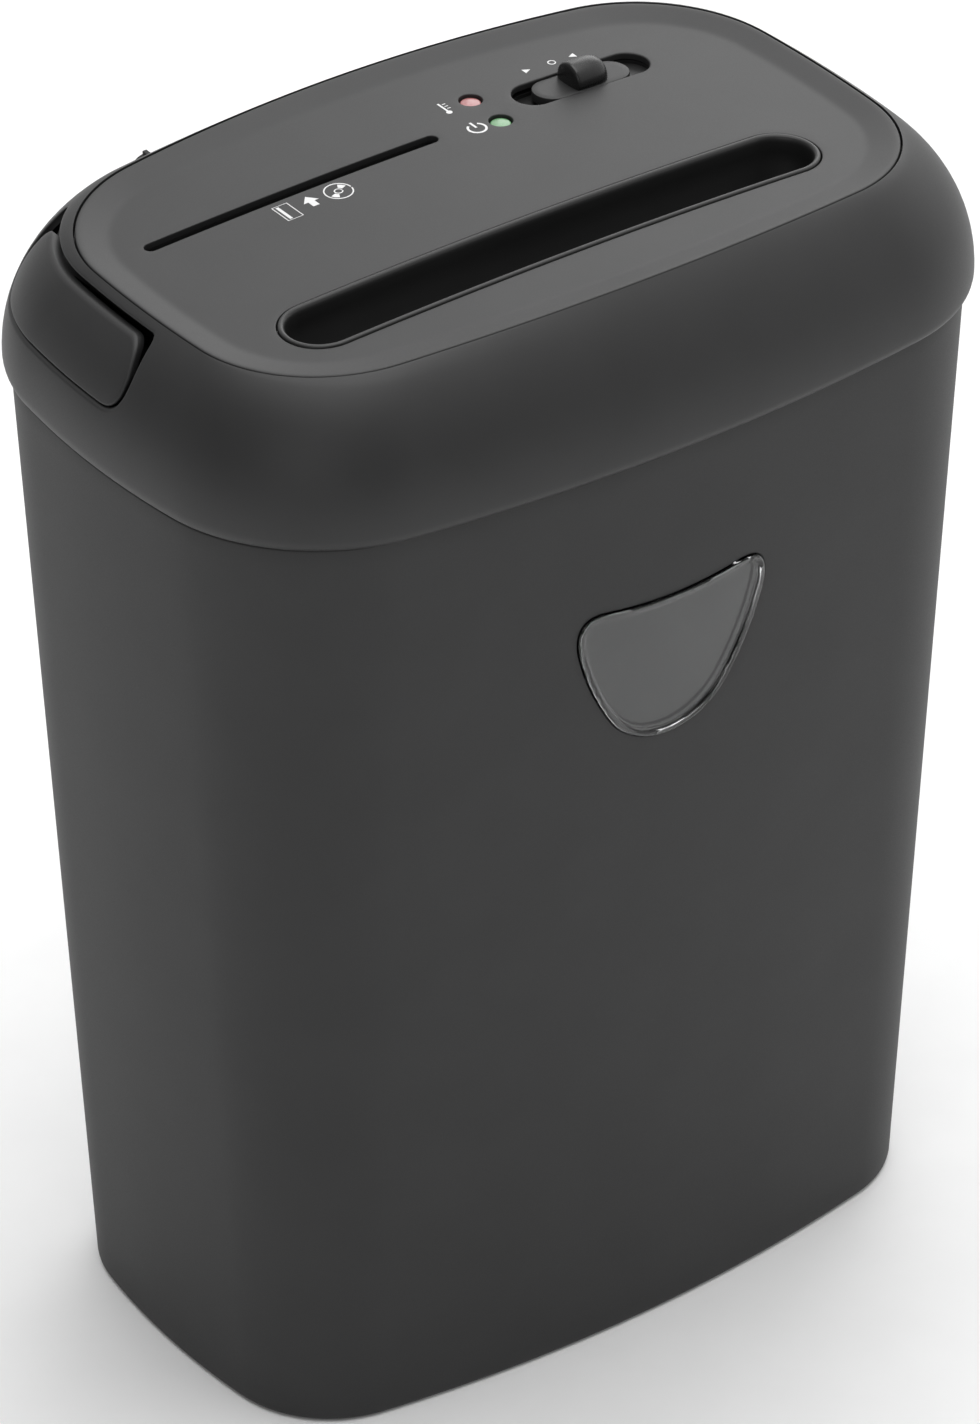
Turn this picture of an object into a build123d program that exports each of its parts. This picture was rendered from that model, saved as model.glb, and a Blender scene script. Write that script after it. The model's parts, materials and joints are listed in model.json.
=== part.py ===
from build123d import *
import os
from math import acos, atan2, cos, pi, radians, sin, sqrt, tan

# Cross-cut paper shredder: a lift-off cutting head standing on a tapered waste bin.
# Millimetres. +X runs along the paper slot to the right, +Y to the back, +Z up.
# The origin is the middle of the bin's flat underside.

# ---- overall size ----
HALF_LENGTH = 184.9
HALF_DEPTH = 124.5

# ---- outlines: half length, half depth, bow of the ends, bow of the sides, corner radius ----
BASE_OUTLINE = (HALF_LENGTH - 20.9, HALF_DEPTH - 24.3, 9.8, 17.6, 49.5)
RIM_OUTLINE = (HALF_LENGTH - 2.2, HALF_DEPTH - 5.1, 13.8, 19.4, 71.9)
WIDEST_OUTLINE = (HALF_LENGTH, HALF_DEPTH, 15.5, 17.0, 77.6)
SEAM_OUTLINE = (HALF_LENGTH - 26.9, HALF_DEPTH - 26.9, 5.7, 15.3, 59.7)
BEYOND = HALF_LENGTH + 20.0   # an x outside everything

# ---- heights ----
BIN_HEIGHT = 423.3            # top of the bin's rim
SKIRT_GAP = 0.4               # shadow line between bin rim and head skirt
WIDEST_ABOVE_RIM = 6.2        # rim to the head's widest level
SEAM_ABOVE_WIDEST = 51.0      # widest level to the seam at the two ends
CROWN_RISE = 4.8              # how much higher the seam stands at mid length
DISH_DEPTH = 2.5              # depth of the dished flat in the top plate
DISH_BAND = 12.5              # width of the sloping band round that flat

# ---- walls ----
BIN_WALL = 2.6
HEAD_WALL = 2.6
LEDGE_WIDTH = 8.0
LEDGE_THICK = 2.5
PLATE_THICK = 5.3
SEAM_GAP = 0.5
TRIM_CLEARANCE = 0.1          # fixed pieces that sit in one another
FIXED_CLEARANCE = 0.3         # loose nesting of fixed mouldings
SLIDE_CLEARANCE = 0.3         # pieces that slide past each other
RUNNING_CLEARANCE = 0.05      # radial, shaft in bush or gear on stud

# ---- window ----
WINDOW_BOTTOM = BIN_HEIGHT - 130.0
WINDOW_TOP = WINDOW_BOTTOM + 64.2
WINDOW_CORNER = (46.5, WINDOW_BOTTOM + 70.2)
WINDOW_BEND = (27.5, WINDOW_BOTTOM + 14.7)
WINDOW_CORNER_R = 9.0
LENS_PROUD = 1.2
LENS_DEPTH = 4.5

# ---- top openings ----
THROAT_LEFT = -127.0
THROAT_Y = -46.0
THROAT_WIDTH = 33.0
THROAT_PAST_CUTTERS = 13.0    # how much longer the mouth is than the row of cutters
THROAT_LIP = 2.6
THROAT_NECK = 6.0
CHUTE_CENTRE = (-64.5, 39.0)
CHUTE_LENGTH = 134.0
CHUTE_WIDTH = 5.6
LED_X = 30.0
LED_OVERHEAT_Y = 55.2
LED_POWER_Y = 35.4
LED_HOLE_R = 4.7
LED_R = 4.2
LED_DROP = 0.9                # lens top below the flat
SWITCH_CENTRE = (75.4, 45.2)
SWITCH_LENGTH = 62.5
SWITCH_WIDTH = 17.5
SLIDER_LENGTH = 43.5
SLIDER_DROP = 1.1             # slider face below the flat
SLIDER_THICK = 4.1
KNOB_X = (-6.0, 9.5)          # from the switch centre
KNOB_WIDTH = 14.8
KNOB_RISE = 9.4
KNOB_ROUND = 6.6
SWITCH_TRAVEL = 9.0

# ---- carry handle in the left end ----
HANDLE_Y = 37.0
HANDLE_HALF = 51.5
HANDLE_ABOVE_RIM = 27.5
HANDLE_BELOW_CROWN = 10.5
HANDLE_SEAM = 0.6
FINGER_GAP = 2.6
HANDLE_THICK = 4.0
HANDLE_ARM = 8.0
HANDLE_ARM_SPACING = 66.0
HANDLE_TRAVEL = 35.0
POCKET_INSIDE_SEAM = 21.5     # back wall of the handle's pocket, inwards of the seam
SLEEVE_LENGTH = 20.0
STOP_THICK = 3.0

# ---- cutter block ----
CUT_PITCH = 8.0
CUT_COUNT = 29
SHAFT_BELOW_RIM = 15.3
NIP_Y = -48.0
SHAFT_SPACING = 32.0
CUTTER_R = 18.0
SPACER_R = 11.5
HEX_FLATS = 14.0
BLADE_KINDS = 6               # blades step round the shaft in this many turns of the hooks
JOURNAL_R = 6.0
BUSH_R = 9.0
SIDE_CLEARANCE = 0.1
FRAME_THICK = 2.5
FRAME_GAP = 1.5
DISC_SPACING = 22.0
DISC_RING_R = 13.0
DISC_CORE_R = 7.5
DISC_JOURNAL_R = 5.0
DISC_BUSH_R = 7.5
DISC_PITCH = 11.0
DISC_BLOCK_TO_RIGHT = 105.5   # right frame plate to the plate that ends the disc cutters

# ---- gears: (teeth, module) ----
SYNC = (16, 2.0)
TAKE_OFF = (22, 1.5)
DISC_IDLER = (18, 1.5)
DRIVE = (40, 1.5)
SECOND_SMALL = (12, 1.5)
SECOND_BIG = (44, 1.25)
FIRST_SMALL = (14, 1.25)
FIRST_BIG = (54, 1.0)
PINION = (12, 1.0)
DISC_SYNC_TEETH = 16
SECOND_ANGLE = 20.0
FIRST_ANGLE = -15.0
MOTOR_ANGLE = 30.0
PRESSURE_ANGLE = radians(20)
BACKLASH = 0.3
STUD_R = 4.0

# ---- motor ----
MOTOR_R = 26.0
MOTOR_LENGTH = 84.0
MOTOR_WALL = 2.0
MOTOR_SHAFT_R = 3.0
ARMATURE_R = 19.0

# ---- head base ----
BASE_DEPTH = 52.3             # how far the base reaches down into the bin
BASE_WALL = 2.4
LIFT_GUIDE_GAP = 1.5

FLANGE_THICK = 2.6
SCREW_FROM_END = 21.7
SCREW_FROM_SIDE = 45.4
SCREW_R = 1.5
SCREW_HEAD_R = 3.2
SCREW_SINK = 1.7
BOSS_R = 4.5
BOSS_HEIGHT = 20.7
BOSS_RIB = 2.0

# ---- worked-out levels and places ----
SKIRT_Z = BIN_HEIGHT + SKIRT_GAP
WIDEST_Z = BIN_HEIGHT + WIDEST_ABOVE_RIM
CROWN_Z = WIDEST_Z + SEAM_ABOVE_WIDEST + CROWN_RISE
CROWN_R = (SEAM_OUTLINE[0] ** 2 + CROWN_RISE ** 2) / (2 * CROWN_RISE)
BASE_FLOOR_Z = BIN_HEIGHT - BASE_DEPTH
SHAFT_Z = BIN_HEIGHT - SHAFT_BELOW_RIM
HANDLE_LOW = BIN_HEIGHT + HANDLE_ABOVE_RIM
HANDLE_TOP = CROWN_Z - HANDLE_BELOW_CROWN
POCKET_BACK = POCKET_INSIDE_SEAM - SEAM_OUTLINE[0]
THROAT_LENGTH = CUT_PITCH * CUT_COUNT + THROAT_PAST_CUTTERS
THROAT_CENTRE = (THROAT_LEFT + THROAT_LENGTH / 2, THROAT_Y)
CUT_LEFT = THROAT_LEFT + 2.0
CUT_RIGHT = CUT_LEFT + CUT_PITCH * CUT_COUNT
FRONT_Y = NIP_Y - SHAFT_SPACING / 2
REAR_Y = NIP_Y + SHAFT_SPACING / 2
LEFT_PLATE = CUT_LEFT - FRAME_GAP - FRAME_THICK
RIGHT_PLATE = CUT_RIGHT + FRAME_GAP
RIGHT_FACE = RIGHT_PLATE + FRAME_THICK
MIDDLE_PLATE = RIGHT_PLATE - DISC_BLOCK_TO_RIGHT
DISC_COUNT = int((MIDDLE_PLATE - CUT_LEFT - 7.0) / DISC_PITCH)
SCREW_X = RIM_OUTLINE[0] - SCREW_FROM_END
SCREW_Y = RIM_OUTLINE[1] - SCREW_FROM_SIDE
SCREW_PLACES = [(side_x * SCREW_X, side_y * SCREW_Y) for side_x in (-1, 1) for side_y in (-1, 1)]


def pitch_radius(gear):
    return gear[0] * gear[1] / 2


def polar(origin, distance, angle):
    return (origin[0] + distance * cos(radians(angle)), origin[1] + distance * sin(radians(angle)))


DISC_FRONT_Y = REAR_Y + 2 * pitch_radius(TAKE_OFF) + 2 * pitch_radius(DISC_IDLER)
DISC_REAR_Y = DISC_FRONT_Y + DISC_SPACING
IDLER_Y = REAR_Y + pitch_radius(TAKE_OFF) + pitch_radius(DISC_IDLER)
SECOND = polar((REAR_Y, SHAFT_Z), pitch_radius(DRIVE) + pitch_radius(SECOND_SMALL), SECOND_ANGLE)
FIRST = polar(SECOND, pitch_radius(SECOND_BIG) + pitch_radius(FIRST_SMALL), FIRST_ANGLE)
MOTOR = polar(FIRST, pitch_radius(FIRST_BIG) + pitch_radius(PINION), MOTOR_ANGLE)


# ================= helpers =================
def save(name, shapes):
    shapes = shapes if isinstance(shapes, list) else [shapes]
    solids = [solid for shape in shapes for solid in shape.solids()]
    export_step(solids[0] if len(solids) == 1 else Compound(children=solids), f"parts/{name}.step")


def block(x, y, z):
    return Pos(sum(x) / 2, sum(y) / 2, sum(z) / 2) * Box(x[1] - x[0], y[1] - y[0], z[1] - z[0])


def rod(x, centre, radius):
    return Pos(sum(x) / 2, centre[0], centre[1]) * Rot(0, 90, 0) * Cylinder(radius, x[1] - x[0])


def post(x, y, z, radius):
    return Pos(x, y, sum(z) / 2) * Cylinder(radius, z[1] - z[0])


def ring(x, centre, outer, inner):
    return rod(x, centre, outer) - rod((x[0] - 1, x[1] + 1), centre, inner)


def outline(size, inset=0.0):
    """Rectangle with bowed sides and round corners, as a face in the XY plane."""
    a, b = size[0] - inset, size[1] - inset
    corner_x, corner_y = a - size[2], b - size[3]
    front = ThreePointArc((-corner_x, -corner_y), (0, -b), (corner_x, -corner_y))
    right = ThreePointArc((corner_x, -corner_y), (a, 0), (corner_x, corner_y))
    back = ThreePointArc((corner_x, corner_y), (0, b), (-corner_x, corner_y))
    left = ThreePointArc((-corner_x, corner_y), (-a, 0), (-corner_x, -corner_y))
    face = make_face([front, right, back, left])
    return fillet(face.vertices(), size[4] - inset)


def prism(size, inset, z):
    return Pos(0, 0, z[0]) * extrude(outline(size, inset), z[1] - z[0])


def stadium(length, width, centre, z):
    return Pos(centre[0], centre[1], z[0]) * extrude(SlotOverall(length, width), z[1] - z[0])


def blend(start, end, share):
    return tuple(p + (q - p) * share for p, q in zip(start, end))


def bin_size(z):
    """Outline of the bin's outside at a height."""
    return blend(BASE_OUTLINE, RIM_OUTLINE, z / BIN_HEIGHT)


def dome_size(z, inset):
    """Outline of the head above its widest level; inset moves the surface inwards."""
    rise = SEAM_ABOVE_WIDEST + CROWN_RISE
    end_run = WIDEST_OUTLINE[0] - SEAM_OUTLINE[0]
    side_run = WIDEST_OUTLINE[1] - SEAM_OUTLINE[1]
    end_r = (end_run ** 2 + SEAM_ABOVE_WIDEST ** 2) / (2 * end_run)
    side_r = (side_run ** 2 + rise ** 2) / (2 * side_run)
    height = z - WIDEST_Z
    a = WIDEST_OUTLINE[0] - end_r + sqrt((end_r - inset) ** 2 - height ** 2)
    b = WIDEST_OUTLINE[1] - side_r + sqrt((side_r - inset) ** 2 - height ** 2)
    share = min(1.0, (WIDEST_OUTLINE[0] - inset - a) / end_run)
    bows = blend(WIDEST_OUTLINE, SEAM_OUTLINE, share)
    return (a, b, bows[2], bows[3], bows[4] - inset)


def loft_levels(levels):
    return loft([Pos(0, 0, z) * outline(size) for size, z in levels])


def dome(inset, low, high):
    """The head's rounded shoulder as a solid, with the tucked-in lip below it."""
    steps = 7
    levels = [WIDEST_Z + (high - WIDEST_Z) * sin(pi / 2 * k / steps) for k in range(steps + 1)]
    shoulder = loft_levels([(dome_size(z, inset), z) for z in levels])
    shrink = [v - inset if i in (0, 1, 4) else v for i, v in enumerate(WIDEST_OUTLINE)]
    tuck = []
    for share in (0.0, 0.35, 0.7, 1.0):
        size = blend(RIM_OUTLINE, WIDEST_OUTLINE, sqrt(1 - (1 - share) ** 2))
        size = tuple(v - inset if i in (0, 1, 4) else v for i, v in enumerate(size))
        tuck.append((size, SKIRT_Z + (WIDEST_Z - SKIRT_Z) * share))
    lip = loft_levels(tuck)
    body = shoulder + lip
    if low < SKIRT_Z:
        body += prism(RIM_OUTLINE, inset, (low, SKIRT_Z))
    return body


def below_crown(drop):
    """Everything below the crowned top surface, lowered by drop."""
    reach = BEYOND
    edge = CROWN_Z - drop - (CROWN_R - sqrt(CROWN_R ** 2 - reach ** 2))
    arc = ThreePointArc((-reach, edge), (0, CROWN_Z - drop), (reach, edge))
    base = Polyline((reach, edge), (reach, BIN_HEIGHT), (-reach, BIN_HEIGHT), (-reach, edge))
    return extrude(Plane.XZ * make_face([arc, base]), reach, both=True)


def crown_height(x, drop=0.0):
    return CROWN_Z - drop - (CROWN_R - sqrt(CROWN_R ** 2 - x ** 2))


def plate_x(points, x):
    """A flat plate across X, its outline given as (y, z) points."""
    return Pos(x[0], 0, 0) * extrude(Plane.YZ * make_face(Polyline(*points, close=True)), x[1] - x[0])


# ================= gears =================
def involute(angle):
    return tan(angle) - angle


def gear_solid(gear, x, centre, bore, phase):
    """Spur gear across X; phase is the angle of one tooth's middle, in radians."""
    teeth, module = gear
    pitch_r = teeth * module / 2
    base_r = pitch_r * cos(PRESSURE_ANGLE)
    tip_r = pitch_r + 0.85 * module
    root_r = pitch_r - 1.2 * module
    half = pi / (2 * teeth) - BACKLASH / (4 * pitch_r) + involute(PRESSURE_ANGLE)
    start_r = max(base_r, root_r)
    flank = [(root_r, half)] if root_r < base_r else []
    for k in range(5):
        radius = start_r + (tip_r - start_r) * k / 4
        flank.append((radius, half - involute(acos(min(1.0, base_r / radius)))))
    points = []
    for tooth in range(teeth):
        middle = phase + 2 * pi * tooth / teeth
        points += [(r * cos(middle - w), r * sin(middle - w)) for r, w in flank]
        points += [(r * cos(middle + w), r * sin(middle + w)) for r, w in reversed(flank)]
    wheel = Pos(0, centre[0], centre[1]) * plate_x(points, x)
    return wheel - rod((x[0] - 1, x[1] + 1), centre, bore)


def mesh_phase(gear, phase, partner, angle):
    """Phase of a partner gear that lies in the direction angle from a gear."""
    offset = phase - angle
    return angle + pi + pi / partner[0] - offset * gear[0] / partner[0]


def direction(start, end):
    return atan2(end[1] - start[1], end[0] - start[0])


def gear_phases():
    front, rear = (FRONT_Y, SHAFT_Z), (REAR_Y, SHAFT_Z)
    idler, disc_front, disc_rear = (IDLER_Y, SHAFT_Z), (DISC_FRONT_Y, SHAFT_Z), (DISC_REAR_Y, SHAFT_Z)
    disc_sync = (DISC_SYNC_TEETH, DISC_SPACING / DISC_SYNC_TEETH)
    phase = {"rear": 0.0}
    phase["front"] = mesh_phase(SYNC, 0.0, SYNC, direction(rear, front))
    phase["second_small"] = mesh_phase(DRIVE, 0.0, SECOND_SMALL, direction(rear, SECOND))
    phase["first_small"] = mesh_phase(SECOND_BIG, 0.0, FIRST_SMALL, direction(SECOND, FIRST))
    phase["pinion"] = mesh_phase(FIRST_BIG, 0.0, PINION, direction(FIRST, MOTOR))
    phase["idler"] = mesh_phase(TAKE_OFF, 0.0, DISC_IDLER, direction(rear, idler))
    phase["disc_gear"] = mesh_phase(DISC_IDLER, phase["idler"], TAKE_OFF, direction(idler, disc_front))
    phase["disc_sync"] = mesh_phase(disc_sync, 0.0, disc_sync, direction(disc_front, disc_rear))
    return phase


# ================= bin =================
def window_face(grow):
    """The shield-shaped window: round bottom, leaning sides, dipped top, round corners."""
    bend = (WINDOW_BEND[0] + 0.8 * grow, WINDOW_BEND[1] - 0.6 * grow)
    corner = (WINDOW_CORNER[0] + grow, WINDOW_CORNER[1] + grow)
    bottom, top = (0, WINDOW_BOTTOM - grow), (0, WINDOW_TOP + grow)
    arcs = []
    for side in (1, -1):
        turn, end = (side * bend[0], bend[1]), (side * corner[0], corner[1])
        arc = TangentArc(bottom, turn, tangent=(side, 0))
        arcs += [arc, TangentArc(turn, end, tangent=arc % 1)]
    arcs.append(ThreePointArc((-corner[0], corner[1]), top, corner))
    face = make_face(arcs)
    corners = [v for v in face.vertices() if v.Y > top[1]]
    return fillet(corners, WINDOW_CORNER_R + grow)


def window_prism(grow=0.0):
    front = Plane.XZ * window_face(grow)
    return extrude(front, RIM_OUTLINE[1] + 20)


def bin_solid(inset, z):
    levels = [(bin_size(level), level) for level in z]
    levels = [(tuple(v - inset if i in (0, 1, 4) else v for i, v in enumerate(size)), level)
              for size, level in levels]
    return loft_levels(levels)


def bin_shell():
    outer = bin_solid(0.0, (0.0, BIN_HEIGHT))
    outer = fillet(outer.edges().group_by(Axis.Z)[0], 3.0)
    cavity = bin_solid(BIN_WALL, (BIN_WALL, BIN_HEIGHT - LEDGE_THICK))
    mouth = prism(RIM_OUTLINE, BIN_WALL + LEDGE_WIDTH, (BIN_HEIGHT - LEDGE_THICK - 1, BIN_HEIGHT + 1))
    return outer - cavity - mouth - window_prism(TRIM_CLEARANCE)


def window_lens():
    low, high = WINDOW_BOTTOM - 50, WINDOW_TOP + 50
    skin = bin_solid(-LENS_PROUD, (low, high)) - bin_solid(LENS_DEPTH - LENS_PROUD, (low - 1, high + 1))
    return skin & window_prism()


# ================= head shells =================
def handle_outline(grow, top):
    """Outline of the handle panel or its recess, seen along X, as (y, z)."""
    half = HANDLE_HALF + grow
    low, middle = HANDLE_LOW - grow, (HANDLE_LOW + HANDLE_TOP) / 2
    lean = 8.0 if grow == 0 else 2.5
    arcs = []
    for side in (-1, 1):
        lower = (HANDLE_Y + side * half, low)
        upper = (HANDLE_Y + side * (half - lean), top)
        bulge = (HANDLE_Y + side * (half - lean * 0.22), middle)
        arcs.append(ThreePointArc(lower, bulge, upper))
    arcs.append(Line((HANDLE_Y - half, low), (HANDLE_Y + half, low)))
    arcs.append(Line((HANDLE_Y - half + lean, top), (HANDLE_Y + half - lean, top)))
    face = make_face(arcs)
    lower_corners = [v for v in face.vertices() if v.Y < middle]
    face = fillet(lower_corners, 8.0 + grow)
    upper_corners = [v for v in face.vertices() if v.Y > top - 0.01]
    return fillet(upper_corners, 3.0 if grow == 0 else 1.2)


def handle_prism(grow, top, inner_x):
    face = Plane.YZ * handle_outline(grow, top)
    return Pos(-BEYOND, 0, 0) * extrude(face, BEYOND + inner_x)


def screw_boss(x, y):
    """Screw post inside the cover, tied to the wall by a rib."""
    z = (BIN_HEIGHT + FLANGE_THICK + TRIM_CLEARANCE, BIN_HEIGHT + BOSS_HEIGHT)
    outward = Pos(x, y, sum(z) / 2) * Rot(0, 0, atan2(y, x) * 180 / pi)
    rib = outward * Pos(10, 0, 0) * Box(20, BOSS_RIB, z[1] - z[0])
    return (post(x, y, z, BOSS_R) + rib) & dome(HEAD_WALL - 0.4, SKIRT_Z, CROWN_Z)


def head_cover():
    top = CROWN_Z + 1.5
    shell = dome(0.0, SKIRT_Z, top) - (dome(HEAD_WALL, SKIRT_Z - 1, top) & below_crown(PLATE_THICK + 2.6))
    shell -= prism(SEAM_OUTLINE, 0.0, (CROWN_Z - 25, top + 5)) - below_crown(PLATE_THICK + TRIM_CLEARANCE)
    shell -= prism(SEAM_OUTLINE, 6.0, (SKIRT_Z, top + 5))
    shell -= handle_prism(HANDLE_SEAM, HANDLE_TOP + FINGER_GAP, POCKET_BACK + 6.5)
    shell -= gland_hole(GLAND_R + TRIM_CLEARANCE)
    for x, y in SCREW_PLACES:
        shell += screw_boss(x, y)
        shell -= post(x, y, (BIN_HEIGHT, BIN_HEIGHT + 17), SCREW_R + TRIM_CLEARANCE)
    return shell


def top_plate():
    body = prism(SEAM_OUTLINE, SEAM_GAP, (CROWN_Z - 16, CROWN_Z + 1)) & below_crown(0.0)
    body -= below_crown(PLATE_THICK)
    body -= prism(SEAM_OUTLINE, DISH_BAND, (CROWN_Z - 16, CROWN_Z + 1)) - below_crown(DISH_DEPTH)
    z = (CROWN_Z - 25, CROWN_Z + 5)
    body -= stadium(THROAT_LENGTH + 2 * TRIM_CLEARANCE, THROAT_WIDTH + 2 * TRIM_CLEARANCE, THROAT_CENTRE, z)
    body -= stadium(CHUTE_LENGTH, CHUTE_WIDTH, CHUTE_CENTRE, z)
    body -= stadium(SWITCH_LENGTH, SWITCH_WIDTH, SWITCH_CENTRE, z)
    for y in (LED_OVERHEAT_Y, LED_POWER_Y):
        body -= post(LED_X, y, z, LED_HOLE_R)
    return body


THROAT_NECK_X = (CUT_LEFT + 3.0, CUT_RIGHT - 3.0)
THROAT_NECK_Z = SHAFT_Z + 38.0
THROAT_END_Z = SHAFT_Z + CUTTER_R + 3.0


def funnel(grow, top):
    """Throat from the wide mouth down to the neck above the cutters."""
    neck_length = THROAT_NECK_X[1] - THROAT_NECK_X[0] + 2 * grow
    neck_centre = (sum(THROAT_NECK_X) / 2, NIP_Y)
    neck_width = THROAT_NECK + 2 * grow
    mouth = SlotOverall(THROAT_LENGTH - 2 * THROAT_LIP + 2 * grow, THROAT_WIDTH - 2 * THROAT_LIP + 2 * grow)
    mouth_level = CROWN_Z - 16.0
    upper = loft([Pos(*neck_centre, THROAT_NECK_Z) * SlotOverall(neck_length, neck_width),
                  Pos(*THROAT_CENTRE, mouth_level) * mouth])
    rise = Pos(*THROAT_CENTRE, mouth_level) * extrude(mouth, top - mouth_level)
    neck = Pos(*neck_centre, THROAT_END_Z - grow) * extrude(
        SlotOverall(neck_length, neck_width), THROAT_NECK_Z - THROAT_END_Z + grow)
    return upper + rise + neck


def throat_guide():
    wall = 1.8
    body = funnel(wall, CROWN_Z - 6) & block((-BEYOND, BEYOND), (-BEYOND, BEYOND), (THROAT_END_Z, CROWN_Z))
    collar = stadium(THROAT_LENGTH, THROAT_WIDTH, THROAT_CENTRE, (CROWN_Z - 12.0, CROWN_Z + 2))
    body += collar & below_crown(DISH_DEPTH - 0.6)
    return body - funnel(0.0, CROWN_Z + 5)


def disc_chute():
    wall = 1.6
    top = crown_height(0.0, PLATE_THICK) - 0.2
    low = SHAFT_Z + 32.0
    outer = stadium(CHUTE_LENGTH + 2 * wall, CHUTE_WIDTH + 2 * wall, CHUTE_CENTRE, (low, top))
    outer = outer & below_crown(PLATE_THICK + 0.2)
    return outer - stadium(CHUTE_LENGTH, CHUTE_WIDTH, CHUTE_CENTRE, (low - 1, top + 1))


def head_base():
    outer_inset = BIN_WALL + LEDGE_WIDTH + LIFT_GUIDE_GAP
    z = (BASE_FLOOR_Z, BIN_HEIGHT + 0.1)
    body = prism(RIM_OUTLINE, outer_inset, z)
    body += prism(RIM_OUTLINE, HEAD_WALL + 1.2, (BIN_HEIGHT, BIN_HEIGHT + FLANGE_THICK))
    body -= prism(RIM_OUTLINE, outer_inset + BASE_WALL, (BASE_FLOOR_Z + BASE_WALL, BIN_HEIGHT + 5))
    floor = (BASE_FLOOR_Z - 1, BASE_FLOOR_Z + BASE_WALL + 1)
    body -= block((CUT_LEFT + 4, CUT_RIGHT - 4), (FRONT_Y - 8, REAR_Y + 8), floor)
    body -= block((CUT_LEFT + 4, MIDDLE_PLATE - 4), (DISC_FRONT_Y, DISC_REAR_Y), floor)
    plunger_low = BIN_HEIGHT - PLUNGER_TRAVEL - 1.5
    body -= post(PLUNGER_X, 0, (plunger_low, BIN_HEIGHT + 5), PLUNGER_R + SLIDE_CLEARANCE)
    head_top = BIN_HEIGHT + SCREW_SINK + TRIM_CLEARANCE
    for x, y in SCREW_PLACES:
        body -= post(x, y, (BIN_HEIGHT - 1, head_top), SCREW_HEAD_R + TRIM_CLEARANCE)
        body -= post(x, y, (BIN_HEIGHT, BIN_HEIGHT + 5), SCREW_R + TRIM_CLEARANCE)
    return body


# ================= carry handle =================
def arm_centres():
    return [HANDLE_Y + side * HANDLE_ARM_SPACING / 2 for side in (-1, 1)]


ARM_Z = HANDLE_LOW + 5.2
SLEEVE_END = POCKET_BACK + SLEEVE_LENGTH
STOP_X = (SLEEVE_END + HANDLE_TRAVEL, SLEEVE_END + HANDLE_TRAVEL + STOP_THICK)
ARM_END = STOP_X[1] + 2.0


def arm(y, grow, x):
    half = HANDLE_ARM / 2 + grow
    return block(x, (y - half, y + half), (ARM_Z - half, ARM_Z + half))


def carry_handle():
    skin = dome(0.0, SKIRT_Z, CROWN_Z) - dome(HANDLE_THICK, SKIRT_Z, CROWN_Z)
    panel = skin & handle_prism(0.0, HANDLE_TOP, POCKET_BACK + 26.5)
    room = dome(HANDLE_THICK / 2, SKIRT_Z, CROWN_Z)
    for y in arm_centres():
        panel += arm(y, 0.0, (-BEYOND, ARM_END)) & room
    return panel


def pocket_prism(grow):
    """Space behind the handle, wider inside than the recess in the cover."""
    low, top = HANDLE_LOW - 3 - grow, HANDLE_TOP + grow
    reach = -SEAM_OUTLINE[0]
    points = [(-BEYOND, low), (POCKET_BACK + grow, low), (POCKET_BACK + grow, top - 5),
              (reach + 3, top - 4.4), (reach - 4, top + 3.4), (-BEYOND, top + 3.4)]
    half = HANDLE_HALF + 3 + grow
    face = Plane.XZ * make_face(Polyline(*points, close=True))
    return Pos(0, HANDLE_Y, 0) * extrude(face, half, both=True)


def handle_pocket():
    wall = 1.8
    room = dome(HEAD_WALL + FIXED_CLEARANCE, SKIRT_Z, CROWN_Z) & below_crown(PLATE_THICK + 3.2)
    body = (pocket_prism(wall) - pocket_prism(0.0)) & room
    panel_space = handle_prism(SLIDE_CLEARANCE, HANDLE_TOP + SLIDE_CLEARANCE, POCKET_BACK + 26.5)
    body -= panel_space - dome(HANDLE_THICK + SLIDE_CLEARANCE, SKIRT_Z, CROWN_Z)
    for y in arm_centres():
        body += arm(y, 2.5, (POCKET_BACK + 0.5, SLEEVE_END))
        body -= arm(y, SLIDE_CLEARANCE, (POCKET_BACK - 5, SLEEVE_END + 1))
    return body


def handle_stops():
    """Clips on the inner ends of the arms, which stop the handle at full reach."""
    clips = []
    for y in arm_centres():
        clips.append(arm(y, 2.5, STOP_X) - arm(y, 0.0, (STOP_X[0] - 1, STOP_X[1] + 1)))
    return clips


# ================= cutter block =================
def hexagon(x, centre, flats):
    radius = flats / sqrt(3)
    points = [(radius * cos(pi / 3 * k), radius * sin(pi / 3 * k)) for k in range(6)]
    return Pos(0, centre[0], centre[1]) * plate_x(points, x)


def cutter_blade(turn):
    """One blade of the stack at the origin: a steel ring with three hooked cross-cut teeth."""
    thick = CUT_PITCH / 2 - 2 * SIDE_CLEARANCE
    blade = rod((0, thick), (0, 0), CUTTER_R) - hexagon((-1, thick + 1), (0, 0), HEX_FLATS)
    for hook in range(3):
        angle = turn + 2 * pi / 3 * hook
        points = [(r * cos(angle + w), r * sin(angle + w)) for r, w in
                  ((CUTTER_R + 2, 0.02), (CUTTER_R - 4, 0.0), (CUTTER_R + 1, -0.55), (CUTTER_R + 3, -0.3))]
        blade -= plate_x(points, (-1, thick + 1))
    return blade


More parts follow.
